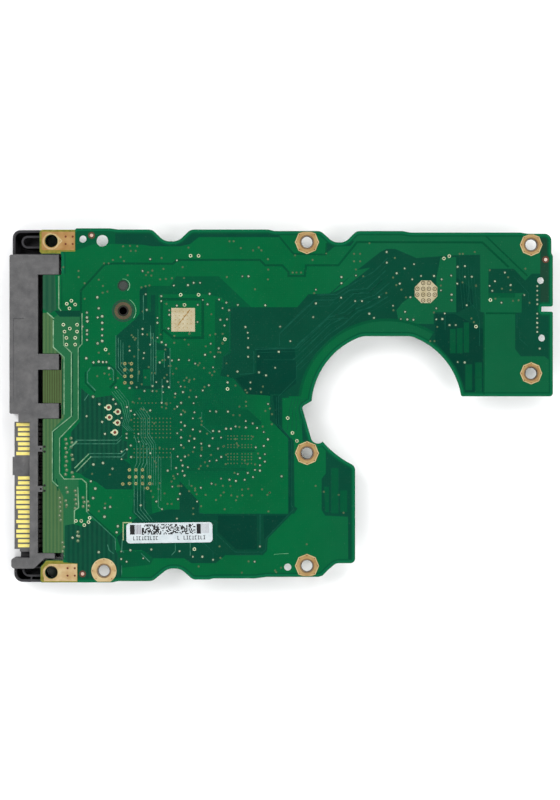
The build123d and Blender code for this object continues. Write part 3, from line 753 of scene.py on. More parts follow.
def plug_edge_areas():
    """The strip beside the plug, where the contact tracks run to the middle of the board."""
    return [
        ("plug_inner", [(-59.9, 22.9), (-58.4, 24), (-52.5, 24), (-52.5, 16), (-53.3, 15), (-53.3, -3.6),
                        (-58.2, -8.7), (-58.2, -18), (-57, -19.4), (-53.2, -19.6), (-53.2, -27),
                        (-54.3, -27.4), (-54.3, -31), (-56.8, -31.5), (-56.8, -40.2), (-58.2, -38.6),
                        (-58.2, -22), (-60.2, -20.2), (-60.2, -6.6), (-57, -3.2), (-57, 12.6),
                        (-59.9, 15.3)]),
        ("plug_strip", [(-63, 24.3), (-61.4, 24.3), (-59.9, 22.9), (-59.9, 15.3), (-57, 12.6), (-57, -3.2),
                        (-60.2, -6.6), (-60.2, -20.2), (-58.2, -22), (-57.2, -24), (-57.2, -38.8),
                        (-63, -38.8)]),
        ("plug_bars", rectangle(-63, 9.4, -57.6, 0.5)),
        ("plug_dim", [(-63, 35), (-59.4, 35), (-59.0, 25.2), (-60.6, 24.2), (-63, 25.6)]),
        ("clear", [(-59.5, 24.9), (-52.9, 24.9), (-52.6, 23.3), (-58.2, 23.3)]),
    ]


def beside_plug(shape):
    """True for a piece of border along the plug edge, where the edge strip isn't seen."""
    x, y = shape[0]
    return x < -56 and -41.5 < y < 39


def add_mask(prefix, outline, holes, layers, low, high):
    """One thin closed sheet for each kind of mask that shows on a face of the board."""
    for key, triangles in sorted(painted_areas(outline, holes, layers).items()):
        sheet = bmesh.new()
        add_sheet(sheet, triangles, low, high)
        finished_piece(prefix + key, sheet, MASKS[key])


def solder_mask_sheets():
    """The mask on the outer face."""
    outline, *holes = face_outlines("circuit_board", BOARD_TOP)
    layers = top_side_areas() + bay_ring_areas() + lower_side_areas() + plug_edge_areas()
    # the outermost band, edge, is lighter as a painted highlight where the board's edge catches the light
    for key, width in (("sheltered", 1.1), ("edge", 0.7)):
        layers += [(key, shape) for shape in border(outline, width) if not beside_plug(shape)]
    add_mask("mask_", outline, holes, layers, BOARD_TOP, MASK_TOP)


# ---------------------------------------------------------------- tracks
def plug_edge_highlight_lines():
    """Edges of the tracks beside the plug, where they catch the light, drawn as painted highlights: (points,
    width).
    """
    return [
        ([(-58.4, 34), (-58.4, 25.6), (-57.8, 24.9)], 0.3),
        ([(-61.5, 24.4), (-59.8, 22.9), (-59.6, 22.9)], 0.3),
        ([(-59.85, 22.4), (-59.85, 15.3), (-57.0, 12.7), (-57.0, -2.4)], 0.3),
        ([(-57.2, 18.6), (-57.1, 15.8), (-55.1, 13.9), (-55.1, -2.8), (-60.1, -6.9), (-60.1, -19.8),
          (-58.6, -21.2)], 0.26),
        ([(-52.3, 24.2), (-52.3, 16.2), (-53.3, 15.1), (-53.3, -3.5), (-58.2, -8.6), (-58.2, -17.8),
          (-57.0, -19.3), (-52.3, -19.3), (-51.1, -20.4), (-51.1, -27.9)],
         0.24),
        ([(-53.4, -21.4), (-53.2, -26.8), (-54.3, -27.6), (-54.3, -31.1)], 0.28),
        ([(-54.3, -16.5), (-50.5, -12.7)], 0.3), ([(-53.8, -17.4), (-49.9, -13.4)], 0.24),
        ([(-55.1, -10.8), (-53.6, -9.4)], 0.28),
    ]


def fine_tracks():
    """Fine signal tracks in the left half: (points, width)."""
    tracks = []
    for i in range(4):
        shift, step = 0.62 * i, 0.85 * i
        tracks += [
            ([(-43.4 + shift, 18.4 - shift), (-43.4 + shift, 9.6 + 0.4 * i),
              (-41.6 + shift, 7.6 + 0.4 * i)], 0.16),
            ([(-44.5 + shift, 3.6 + 0.2 * i), (-42 + shift, 0.5 + 0.2 * i), (-41 + 0.45 * i, -3),
              (-41.8 + 0.5 * i, -5.2), (-40.2 + 0.5 * i, -6.7)], 0.13),
            ([(-38.6 + 0.9 * i, -7.8 - 0.7 * i), (-37.9 + step, -10), (-37.9 + step, -15),
              (-38.6 + step, -16.5), (-38.6 + step, -28 + 0.3 * i), (-36.2 + step, -30.3)], 0.16),
        ]
    for x, top, bottom in [(-37.6, 20, 6.2), (-34.2, 19, 5), (-33.6, 19, 5), (-32.9, 18, 8), (-29.2, 15, 4.5),
                           (-36.2, 29, 22.5), (-34.3, 21, 17.5), (-30.7, 14, 10), (-31.3, 7, 1)]:
        tracks.append(([(x, top), (x, bottom)], 0.18))
    for y, left, right in [(-9.1, -53.7, -43), (-10.05, -54.2, -43.2), (-12.6, -50.3, -42),
                           (-13.5, -50.0, -42)]:
        fall = 1.7 if y > -11 else 3.6
        tracks.append(([(left - fall, y - fall), (left, y), (right, y), (right + 1.2, y + 1.2)], 0.2))
    beside_controller = [(-38.2, -1.5), (-36.8, -3.6), (-36.8, -8.4), (-35.2, -10.8), (-35.2, -21)]
    tracks += side_by_side(beside_controller, 5, 0.56, 0.14)
    tracks += [
        ([(-32.3, -12.9), (-32.3, -26.6), (-31.2, -27.4)], 0.16), ([(-31.6, -13.5), (-31.6, -25)], 0.14),
        ([(-28.9, -12.6), (-28.9, -17)], 0.16), ([(-24.2, -19.5), (-24.2, -21)], 0.2),
        ([(-20.8, -5.2), (-18.3, -7.3)], 0.12), ([(-21.9, -3.4), (-20.9, -3.4), (-20.9, -1.8)], 0.12),
        ([(-50.1, 9.85), (-50.9, 8.7), (-50.9, 6.15), (-48.7, 3.9)], 0.24),
        ([(-45.0, 10.2), (-44.05, 9.2), (-44.05, 6.5)], 0.24), ([(-50.6, 3.0), (-51.7, 1.3)], 0.2),
        ([(-51.1, -27.9), (-43.6, -34.9), (-43.5, -37.9)], 0.18),
        ([(-27.8, -36.1), (-27.8, -38.2), (-28.8, -39.3)], 0.2), ([(-23.9, -36.1), (-23.9, -39.4)], 0.2),
        ([(-41.7, -35), (-41.9, -38), (-41.3, -38.6)], 0.24),
        ([(-45.6, -36.5), (-45.2, -38), (-44, -38.9)], 0.2),
        ([(-36.8, -38.8), (-34.5, -41.1)], 0.2), ([(-41.9, -42), (-41.9, -44.6)], 0.18),
    ]
    return tracks


def corridor_tracks():
    """Tracks in the dark areas of the middle and right: (points, width)."""
    tracks = [
        ([(-13.6, 25.2), (-13.6, 14.2), (-15.3, 12.6), (-15.3, 9.6)], 0.2),
        ([(-12.9, 27.2), (-12.9, 24.0)], 0.16), ([(-14.5, 12.2), (-14.5, 9.4)], 0.16),
        ([(-7.2, 14.3), (-7.2, 8.4), (-11, 8.2)], 0.22), ([(-0.45, 18.8), (-0.45, 15.6)], 0.2),
        ([(-4.6, 12), (3.2, 12), (4.4, 13)], 0.14),
        ([(-7.2, 15.1), (4.3, 15.1), (12, 22.6), (17.5, 22.9)], 0.18),
        ([(0.1, 19.6), (6.6, 26.1), (12.6, 26.1), (13.8, 27.3)], 0.14),
        ([(4.0, 10.2), (4.0, 7.2), (0.2, 3.3), (-0.65, 2.5), (-0.65, -5), (2.3, -8.4), (2.6, -9.2),
          (2.6, -26.1), (3.3, -27.2), (-3.9, -34.8), (-4.2, -37.9), (-4.9, -38.5), (-12.1, -38.5),
          (-17.1, -33.7), (-17.1, -30.3), (-21.3, -30.3)], 0.17),
        ([(-1.25, 2.3), (-1.25, -4.8), (2.0, -8.6), (2.1, -9.2), (2.1, -24)], 0.12),
        ([(-17.1, -34), (-17.1, -36.5)], 0.12), ([(-5.55, -28.6), (-5.55, -36.5)], 0.34),
        ([(-22.2, -34.4), (-17.9, -38.4), (-17.9, -40.2)], 0.18),
        ([(-11.9, -39.3), (-5.6, -39.2)], 0.12), ([(-21.6, -25.3), (-21.6, -28.2), (-20.2, -28.5)], 0.14),
        ([(13.1, -16.6), (13.1, -28)], 0.1), ([(15.1, -16.6), (15.1, -28)], 0.1),
        ([(43.0, 23.6), (43.0, 19.9)], 0.2), ([(52.05, 22.5), (52.05, 15.6)], 0.18),
        ([(49.2, 33), (49.2, 27.6), (51.6, 24.6), (51.8, 22.8)], 0.14), ([(61.9, 24), (61.9, 20.4)], 0.16),
        ([(62.6, 20), (62.6, 17.5), (64.8, 15.5)], 0.14), ([(61.0, 33.9), (64.9, 29.6), (64.9, 26)], 0.14),
    ]
    stepped = [
        [(-6.9, 14.7), (3.5, 15.0), (15.3, 26.1), (19.2, 29.5), (22.8, 29.5), (26.4, 33.0)],
        [(3.2, 12), (12.7, 21.2), (16.3, 23.1), (18.6, 24.8), (21.8, 26.4), (26.6, 29.4)],
        [(3.9, 10.1), (12.4, 18.6), (16.6, 21.5), (20.2, 24.8), (23.5, 25.8), (28.0, 28.6)],
        [(-0.4, 18.9), (8.8, 27.7), (13.7, 27.7), (17.9, 30.3), (22.5, 30.7), (27.4, 35.4)],
        [(4.2, 16.0), (12.4, 23.1), (16.6, 24.5), (20.4, 27.6), (24.6, 29.0), (28.4, 32.2)],
        [(9.4, 29.0), (14.6, 29.2), (19.6, 32.4), (24.4, 35.2), (28.0, 38.8)],
    ]
    for points in stepped:
        tracks.append((points, 0.3))
        tracks.append(([(x + 0.8, y - 0.8) for x, y in points], 0.1))
    for i in range(6):
        x = 46.8 + 0.75 * i
        tracks.append(([(x, 38.2 - 0.4 * i), (x, 34.6), (47.6 + 0.75 * i, 25.5)], 0.1))
    for i in range(5):
        x = 1.6 + 0.8 * i
        tracks.append(([(x + 1.4, 2.0), (x + 0.6, -1), (x + 0.4 * i, -6.4)], 0.12))
    return tracks


def pour_gaps():
    """Narrow dark gaps between areas of pour: (points, width)."""
    return [
        ([(-52.6, 15.8), (-52.6, 30.2), (-50.4, 32.6), (-46.4, 37), (-43.9, 37.3), (-28.5, 37.2),
          (-27.3, 38.2), (-5.6, 38.2), (-4.2, 36.8), (0.3, 36.8), (1.9, 35.0), (1.9, 34), (6.2, 34),
          (6.5, 36.8), (15, 36.8), (19.9, 42.9), (52.8, 42.8), (59.7, 36.3)], 0.55),
        ([(53.6, 44.6), (64.6, 34)], 0.4),
        ([(-0.4, 44.2), (3.2, 39.8), (11.7, 39.6), (11.9, 42.6)], 0.45),
        ([(-31.4, 17.2), (-31.4, 27.9), (-20.6, 27.9), (-20.6, 17.8), (-28.3, 17.7), (-31.0, 19.9)], 0.7),
        ([(-49.6, 10.5), (-45.2, 10.6), (-43.5, 9.2), (-43.5, 6.2), (-45, 4.6)], 0.6),
        ([(-51.4, 8.8), (-51.4, 5.9), (-48.9, 3.4)], 0.4),
        ([(53.7, 24.2), (61.6, 24.2)], 0.5), ([(53.2, 23.9), (53.2, 2.9)], 0.4),
        ([(50.6, 7.4), (53.2, 7.4)], 0.3), ([(-59.0, -19.3), (-58.6, -22.4)], 0.3),
        ([(-36.7, -22.3), (-38.7, -21.9)], 0.3), ([(-50.7, -20.2), (-50.7, -27.8), (-43.3, -34.6)], 0.3),
        ([(-57.4, 12.2), (-57.4, -2.4)], 0.25),
        ([(-54.8, 13.6), (-54.8, -2.6), (-59.8, -6.9), (-59.8, -19.7)], 0.3),
        ([(-53.0, 15.1), (-53.0, -3.3), (-57.9, -8.4), (-57.9, -17.6)], 0.3),
        ([(-57.6, 34), (-57.6, 25.8)], 0.2), ([(-50.2, -13.0), (-54.1, -16.7)], 0.5),
        ([(-53.9, -9.6), (-55.3, -10.9)], 0.4),
    ]


def line_height(i):
    """A slightly different extra height for each of seven lines, so none flickers where they cross."""
    return LINE_STEP * (i % 7)


def add_lines(name, lines, material, level):
    """One piece for a family of lines, raised `level` mm above the mask."""
    mesh_data = bmesh.new()
    for i, (points, width) in enumerate(lines):
        add_track(mesh_data, points, width, MARK_BASE, MASK_TOP + level + line_height(i))
    finished_piece(name, mesh_data, material)


def tracks_and_gaps():
    """The gaps in the pour and the three families of tracks under the mask; the family beside the plug is
    painted highlight on the track edges.
    """
    add_lines("pour_gaps", pour_gaps(), solder_mask("mask_in_pour_gaps", linear(0, 80, 50), 0.9), 0.002)
    for name, lines, under, base, lit, level in [
        # the pale lines on the track edges beside the plug are painted highlight
        ("plug_edge_highlight_lines", plug_edge_highlight_lines(), "plug_track_edge_highlights", (84, 138, 100), (150, 184, 148), 0.016),
        ("fine_tracks", fine_tracks(), "fine_tracks", (20, 100, 76), (80, 138, 114), 0.012),
        ("corridor_tracks", corridor_tracks(), "corridor_tracks", (2, 74, 56), (16, 88, 68), 0.012),
    ]:
        add_lines(name, lines, track_and_highlight_mask("mask_on_" + under, linear(*base), linear(*lit)), level)


# ---------------------------------------------------------------- vias
LEFT_VIAS = [
    (-52.2, 20.7), (-50.9, 22.1), (-48.3, 28.4), (-47.9, 25.5), (-48.2, 23.1), (-48.2, 16.3), (-47.9, 11.5),
    (-46.8, 11.4), (-45.9, 11.4), (-45.2, 9.8),
    (-34.4, 38.4), (-36.4, 35.3), (-35.6, 29.2), (-35.3, 25.1), (-31.5, 28.7), (-31.5, 27.4), (-32.5, 23),
    (-32.5, 21.7), (-36.4, 20.1), (-36.4, 18.7), (-32.5, 17.8), (-31.4, 16.6), (-30.3, 15.9), (-34.4, 16),
    (-29.4, 25), (-29.4, 23.8), (-29.6, 20.2), (-36, 13.8), (-36.2, 12.4), (-31.9, 11.3), (-29.6, 12.7),
    (-39.8, 14.4), (-32.8, 6.15), (-33.8, 5.1), (-33.8, 3.8), (-31.15, 5), (-31, 3.5), (-29.9, 6.3),
    (-29.5, 4.8), (-35.9, 3.8), (-38, 4.8), (-39.8, 4.6), (-51.2, 12.4), (-49.3, 11.3), (-43.4, 4.7),
    (-49.4, 2.3), (-47.75, 0.35), (-44.1, 1.6), (-43.45, 0.4), (-40.5, -0.4), (-39.5, -1.4), (-38.5, -2.4),
    (-41.9, -3.3), (-34.4, -1.3), (-31.4, 0.7), (-47, -4.3), (-46.3, -7.45), (-40.6, -7.45), (-40.6, -8.5),
    (-37.5, -7.45), (-37.4, -9.5), (-39.5, -10.5), (-40.5, -11.5), (-41.9, -12.1), (-41.9, -14.1),
    (-39.4, -13.55), (-34.4, -12.5), (-28.3, -11.4), (-51.1, -2.8), (-49.3, -15.5), (-46.8, -15.1),
    (-44.3, -16.6), (-50, -19.9), (-48.8, -21.8), (-49.4, -24.3), (-44.9, -26.6), (-46.3, -26.9),
    (-46.4, -29.2), (-42.9, -31.7), (-43.2, -33.3), (-39.6, -29.5), (-36.9, -26.2), (-32.8, -25.2),
    (-31.3, -27.2), (-28.6, -21.3), (-29.8, -17.1), (-53.5, -34.2), (-54.8, -34.7), (-42, -38.3),
    (-39.6, -38), (-42, -40.3), (-40.6, -41), (-36.2, -40.1), (-34.1, -37.8), (-47.9, -38.5),
]
CENTRE_VIAS = [
    (-27.4, 38.1), (-10.2, 33.9), (-8.6, 33.9), (-23, 32.2), (-21.3, 32.2), (-28.2, 31.5), (-24.5, 31.6),
    (-18.8, 29.3), (-16.3, 27.8), (-20.6, 27.7), (-19.35, 26.55), (-14.4, 27), (-11.4, 26.4), (-15.4, 25.55),
    (-13.7, 25), (-27.4, 26.2), (-21.9, 26.4), (-22, 21.9), (-16, 22.5), (-14.25, 22.6), (-14.9, 21),
    (-18.5, 16.2), (-16.4, 15), (-9.4, 20.6), (-8.8, 19.1), (-8.7, 17.7), (-8.7, 15.2), (-4.2, 26.3),
    (-0.3, 20.7), (2.4, 16.9), (-0.65, 14.1), (-28.7, 11.8), (-26.9, 12), (-24.2, 11.9), (-20, 13.3),
    (-17.5, 12.8), (-22.6, 11), (-17.9, 10), (-11.5, 8.9), (-8.7, 12.8), (-5.95, 12.9), (-1.6, 9.9),
    (-5.85, 8.7), (-4, 7.9), (-8.1, 6.05), (-8.1, 4.4), (-14.1, 6.05), (-19, 5.3), (-20.6, 3.95),
    (-26.4, 5), (-25.8, 3.5), (-27.8, 3.1), (-22.3, 2.25), (-23, 0.6), (-26.3, 0.7), (-27.3, -0.3),
    (-3.45, 0.4), (-18.7, -1.5), (-17.1, -1.6), (-14, -1.6), (-22.8, -1.8), (-23.2, -3.35), (-25.3, -5.3),
    (-23.2, -6.3), (-21.3, -6.8), (-27.3, -7.3), (-22.8, -8.7), (-24.2, -9.3), (-21, -10), (-22.8, -11),
    (-18.9, -10.6), (-16.6, -11.3), (-21.1, -13.2), (-27.2, -13.4), (-25.3, -13.4), (-15.75, -13.5),
    (-17, -14.4), (-18.8, -14.6), (-17.9, -6.7), (-16.3, -6.8), (-18, -8.6), (-15.8, -8.4), (-14.5, -6.1),
    (-13.2, -6.1), (-12, -5.5), (-9.3, -4.1), (-9.3, -5.8), (-7.5, -4.7), (-6.35, -5.9), (-4.6, -6.95),
    (-3.5, -8.9), (-4.6, -10.6), (-6.7, -11), (-4.3, -12.8), (-5.6, -13.8), (-4.3, -14.7), (-5.6, -15.7),
    (-6.9, -16.9), (-5.6, -17.1), (-8.8, -17.7), (-11.4, -18), (-24.5, -16.2), (-25.9, -15.75),
    (-27.6, -16.4), (-25.9, -17.2), (-15.8, -19.2), (-13.6, -19.5), (-11.9, -19.8), (-9.6, -19.5),
    (-7.4, -18.8), (0.1, -18.6), (-18.3, -20.5), (-21.1, -21.6), (-22.1, -25.2), (-27.1, -24.6),
    (-26.6, -23.2), (-27.4, -29.7), (-27.2, -18), (-25.4, -18.4), (-5.6, -37), (-26.7, -38.25),
    (-23.2, -39.7), (-20.7, -39.7), (-17.9, -40.5), (-7, -41),
]
RIGHT_VIAS = [
    (19.6, 34.1), (15.8, 33.7), (15.8, 32.1), (15.7, 28.3), (9.1, 30.4), (9.1, 26.8), (8.4, 23.2),
    (19.4, 27.4), (21.2, 27.4), (23.1, 24.1), (24.35, 23), (25.7, 28.5), (29.35, 26.2), (27.65, 40.3),
    (27.7, 37.5), (32.4, 36), (34.85, 37.1), (30.3, 34.7), (31.1, 32), (34.4, 33.1), (36.7, 34), (40.1, 34),
    (33.9, 28.4), (32.5, 24.6), (31.4, 22.7), (33.1, 22.6), (34.7, 22.5), (40.7, 25.5), (40.7, 22.6),
    (46.3, 36.4), (48.2, 36.6), (44.6, 34.1), (48.2, 33.8), (50, 33.8), (42.1, 33.1), (46.2, 32),
    (41.9, 30.2), (44.7, 29.1), (44.7, 27.65), (48.7, 26.3), (42.9, 24.15), (42.3, 22.7), (44.15, 21.1),
    (45.8, 21.1), (46.3, 11.4), (48.15, 11.3), (58.7, 34.9), (56.1, 32.6), (54.7, 31.4), (60.2, 31.6),
    (55.4, 30.1), (57.8, 27), (63.8, 29), (67.85, 14.95),
]
RINGED_VIAS = [
    (-55.1, 27.5), (-56.3, 26.7), (-54.1, 26.5), (-55.6, 25.5), (-57.2, 21.2), (-53.6, 21.2), (-55.5, 20.2),
    (-56.9, 19.4), (-53.6, 19.4), (-56.4, 17.75), (-54.1, 17.75), (-56.4, 16), (-54.1, 16), (-46.1, 14.7),
    (-53.9, -30.3), (-52.5, -30.3), (-50.3, -29.5), (-50.6, -30.6), (-51.7, -31.4), (-23.8, 39.3),
    (-21.7, 39.3), (-26.4, 29.05), (-21.7, 29.05), (-25.4, 26.4), (-14.8, 17.4), (-14.1, 4.35), (1.7, -3.3),
    (2.95, -7.2), (4.1, -9.3), (44.1, 39.2), (42.7, 38.6), (54.9, 27.7), (51.1, 20.7), (-22.8, -37.7),
]
TEST_POINTS = [(-45.3, -0.5), (-42.9, -1.65), (-45.1, -3.1), (-43.0, -4.5), (-43.65, -7.05)]
BURIED_VIAS = [
    (-48.3, 7.7), (-46.4, 8.4), (-45.2, 8.1), (-44.9, 7.0),
    (-41.5, 41.8), (-39.7, 41.9), (-37.8, 41.8), (-39.5, 40.6), (-38.2, 40.6), (-46.5, 37.3), (-45.3, 37.3),
    (-44.2, 38.2), (-41.3, 37.9), (-57.2, 36.3), (-53.2, 35.3), (-53.2, 33.7), (-47.9, 33), (-51.6, 32.1),
    (-46.8, 31.4), (-46.9, 29.6), (-51.6, 28), (-56.5, -25.2), (-56.5, -26.7), (-13.6, 43.1),
    (-12.5, 43.1), (-7.4, 40.7), (-5.2, 40.7), (-25.9, 36.3), (-6.9, 30.5), (19.1, 39.8), (20.7, 39.8),
    (19.1, 37.85), (20.7, 37.85), (19.6, 35.7), (-15.9, -23.6), (-13.1, -23.6), (-10.2, -23.6),
    (-7.8, -23.6), (-23.1, -27), (-23.1, -28.5), (-16.2, -37), (-16, -40), (62.3, 27.6), (39.1, 16.9),
    (40.2, 16.9), (-31.8, 33.1), (-30.3, 33.2), (-28.7, 33.4), (-36.7, 31.0), (-35.6, 31.3), (-34.6, 31.5),
    (-35.5, 34.2), (-34.1, 34.1), (3.0, 34.9), (4.0, 34.9), (5.2, 34.9), (-3.5, 38.4), (-3.5, 33.1),
]


def head_contact_vias():
    """The row of vias at the head-contact edge."""
    upper = [(67.2, 31.3 - 1.18 * i) for i in range(5)]
    lower = [(67.2, 24.1 - 1.2 * i) for i in range(5)]
    return upper + lower


def column_vias():
    """Straight columns of bright vias beside the controller and the plug."""
    middle = [(-26.3, y) for y in (-2.35, -4.4, -6.4, -8.4, -10.4, -14.4)]
    plug_side = [(-51, y) for y in (24.4, 23.1, 19.7, 18.7, 17.2)]
    plug_side += [(-47, y) for y in (23.4, 21.7, 20, 18.4, 16.9)]
    return middle + plug_side


def ball_grid_vias():
    """Faint rows of vias on the far side of the ball-grid chips."""
    rows = [0.65, -3.4, -4.4, -5.4, -6.3, -7.3, -8.4, -11.4, -12.4, -13.6]
    points = [(-38.6 + 0.95 * i, y) for y in rows for i in range(11)]
    for left in (-14.0, -10.3):
        points += [(left + 0.82 * i, y) for i in range(4)
                   for y in (-8, -8.8, -10.3, -11, -12.7, -13.5, -14.2, -15.2)]
    return points


def plug_side_vias():
    """Uneven columns of buried vias where the contact tracks turn in from the plug."""
    columns = [(-56.6, -8.9, 9), (-55.2, -8.6, 3), (-55.0, -13.0, 2), (-54.9, -17.6, 2), (-58.2, -24.3, 6),
               (-54.1, -22.4, 5), (-56.6, -25.0, 2), (-52.0, -24.2, 3), (-53.4, -33.2, 3), (-57.4, -36.0, 3),
               (-56.4, -21.6, 2), (-50.8, -25.2, 3)]
    return [(x + 0.25 * (i % 2), y - 1.15 * i) for x, y, count in columns for i in range(count)]


def frosted_vias():
    """Buried vias beside the plug: each a pale blister in the mask with an off-centre glint."""
    places = plug_side_vias()
    blister = ink_and_painted_light("mask_blister", linear(84, 106, 74), 1.3)
    dome_piece("mask_blisters", places, 0.45, MARK_BASE, 0.01, 12, blister)
    glints = [(x + 0.12 - 0.08 * (i % 3), y + 0.1) for i, (x, y) in enumerate(places)]
    glint = ink_and_painted_light("blister_glint", linear(158, 170, 136), 1.2)
    dome_piece("blister_glints", glints, 0.17, MARK_BASE, 0.02, 8, glint)


def far_apart(points, taken, gap):
    """The points that are at least `gap` mm from every taken one."""
    return [p for p in points if all(math.dist(p, other) > gap for other in taken)]


def clear_of_pads(x, y):
    """Whether a via here misses every ring, bare pad and large hole."""
    margin = 0.4
    round_places = SCREW_RINGS + [(*FILLED_HOLE, 2.7), (*OPEN_BUSHING, 4.6), (38.0, 29.85, 6.4)]
    if any(math.dist((x, y), place[:2]) < place[2] / 2 + margin for place in round_places):
        return False
    low, high = lowest("square_thermal_pad"), highest("square_thermal_pad")
    return not (low[0] - margin < x < high[0] + margin and low[1] - margin < y < high[1] + margin)


def scattered_vias(taken):
    """Small buried vias spread thinly over the pour, away from everything else."""
    rng = random.Random(11)
    # each field: x from and to, y from and to, number of tries
    fields = [(-44, -24, 26, 42, 10), (-26, -2, -24, 24, 130), (-20, 24, 26, 43, 14), (-24, 4, -44, -40, 6),
              (5, 17, -40, -16, 5), (24, 52, 20, 42, 26), (-50, -30, -30, 30, 30), (54, 66, 26, 36, 8),
              (-36, -24, -26, -14, 24), (-22, -3, -28, -20, 12), (-40, -24, -2, 20, 60)]
    points = []
    for x1, x2, y1, y2, count in fields:
        fresh = [(rng.uniform(x1, x2), rng.uniform(y1, y2)) for _ in range(count)]
        fresh = [(x, y) for x, y in fresh if not (-13 < x < 20 and 6 < y < 25) and clear_of_pads(x, y)]
        points += far_apart(fresh, taken + points, 0.9)
    return points


def filled_vias(centres):
    """Vias filled with solder, each in a shallow dip of the mask whose shade is painted as a dark ring."""
    solder = bare_metal("via_solder", linear(190, 200, 168), linear(132, 152, 122), 0.05, (0.35, 0.55), 0.2)
    domes, dips = bmesh.new(), bmesh.new()
    for i, centre in enumerate(centres):
        radius = (0.28 if centre[0] < -42 else 0.21) + 0.07 * ((i * 7) % 4) / 3
        # the dark ring round each via is painted shade
        add_dome(dips, centre, radius + 0.23, MARK_BASE, 0.008, 12)
        add_dome(domes, centre, radius, MARK_BASE, 0.03)
    finished_piece("via_dip_shades", dips, ink_and_painted_light("via_mask_dip_shade", linear(0, 58, 38), 1.3))
    finished_piece("solder_filled_vias", domes, solder)


def ringed_vias():
    """Bare rings round open vias, and the five larger test points with their short tails."""
    gold = bare_metal("via_ring_gold", linear(226, 234, 194), linear(184, 192, 150), 0.05, (0.35, 0.5), 0.2)
    copper = bare_metal("test_point_copper", linear(134, 62, 36), linear(96, 40, 26), 0.2, (0.4, 0.6), 0.3)
    shadow = ink_and_painted_light("via_hole_shadow", linear(14, 40, 26))
    rings = bmesh.new()
    for centre in RINGED_VIAS:
        add_ring(rings, centre, 0.23, 0.46, MARK_BASE, MARK_BASE + 0.03)
    for x, y in TEST_POINTS:
        add_ring(rings, (x, y), 0.42, 0.82, MARK_BASE, MARK_BASE + 0.03, 20)
        add_track(rings, [(x - 1.15, y - 0.05), (x - 0.7, y)], 0.42, MARK_BASE, MARK_BASE + 0.026)
    finished_piece("ringed_vias", rings, gold)
    dome_piece("ringed_via_holes", RINGED_VIAS, 0.26, MARK_BASE, 0.012, 10, shadow)
    dome_piece("test_point_cups", TEST_POINTS, 0.46, MARK_BASE, 0.014, 14, copper)


def buried_vias(bright):
    """Vias that only tint the mask: the placed ones, the scattered ones and the ball-grid fields."""
    buried = bmesh.new()
    for centre in BURIED_VIAS + scattered_vias(bright + RINGED_VIAS + BURIED_VIAS):
        add_dome(buried, centre, 0.3, MARK_BASE, 0.008, 8)
    for centre in far_apart(ball_grid_vias(), bright, 0.6):
        add_dome(buried, centre, 0.2, MARK_BASE, 0.008, 8)
    brown = ink_and_painted_light("buried_via_copper", linear(70, 88, 56), 1.8)
    finished_piece("buried_vias", buried, brown)


def via_pieces():
    """Filled, ringed and buried vias on the outer face."""
    bright = LEFT_VIAS + CENTRE_VIAS + RIGHT_VIAS + column_vias() + head_contact_vias()
    filled_vias(bright)
    ringed_vias()
    buried_vias(bright)


def gold_field_vias():
    """Two small fields of gold-plated test vias, each in a dark ring of painted shade."""
    gold = bare_metal("field_via_gold", linear(178, 172, 108), linear(136, 130, 76), 0.1, (0.35, 0.5), 0.2)
    field = [(x, y) for x in (-41.06, -39.32) for y in (10.98, 9.33, 7.66, 5.96)]
    field += [(x, y) for x in (-39.87, -38.15, -36.4) for y in (-16.9, -18.75, -20.5)]
    field += [(-34.5, -18.75), (-34.5, -20.5), (-41.6, -20.6), (-35.1, -21.7)]
    rings = bmesh.new()
    for centre in field:
        add_ring(rings, centre, 0.13, 0.43, MARK_BASE, MARK_BASE + 0.028)
    finished_piece("gold_field_vias", rings, gold)
    # painted shade: a dark ring round each via, for the dip in the mask
    dip = ink_and_painted_light("field_via_dip_shade", linear(18, 66, 40))
    dome_piece("gold_field_dip_shades", field, 0.62, MARK_BASE, 0.008, 12, dip)


# ---------------------------------------------------------------- component side
def component_side_areas():
    """Places on the component side where no copper pour lies under the mask."""
    return [
        ("clear", [(-50, 34), (-30, 34), (-26, 30), (-26, 12), (-50, 12)]),
        ("deep", [(-24, 22), (-4, 22), (2, 16), (2, -4), (-24, -4)]),
        ("clear", rectangle(-44, 8, -27, -26)),
        ("sheltered", rectangle(-22, -8, 4, -34)),
        ("clear", [(8, 36), (24, 38), (46, 36), (46, 22), (30, 22), (20, 20), (8, 28)]),
        ("sheltered", rectangle(48, 36, 62, 4)),
        ("clear", [(9, -16), (16, -20), (16, -38), (9, -38)]),
        ("clear", rectangle(63, 33, 68, 12)),
    ]


def component_side_tracks():
    """Bundles of tracks that run between the chips, from the head contacts and to the plug."""
    bundles = [
        ([(-26, 24), (-26, 30), (-21, 35), (6, 35), (12, 33)], 8, 0.55, 0.18),
        ([(-20, -1), (-33, -1), (-37, -5), (-46, -5)], 8, 0.6, 0.18),
        ([(2, 5), (6, 12), (9, 20), (15, 27), (24, 32), (44, 32)], 6, 0.6, 0.18),
        ([(64, 25), (59, 25), (54, 20), (54, 15)], 8, 0.7, 0.2),
        ([(-18, -8), (-18, -16), (-22, -20), (-22, -34)], 7, 0.6, 0.18),
        ([(-60, -1), (-54, -1), (-50, 3), (-44, 3)], 7, 0.9, 0.3),
        ([(-60, -27), (-54, -27), (-51, -25)], 7, 2.0, 0.6),
        ([(1.2, -8), (1.2, -30), (-4, -36), (-16, -36)], 3, 0.6, 0.25),
    ]
    return [track for bundle in bundles for track in side_by_side(*bundle)]


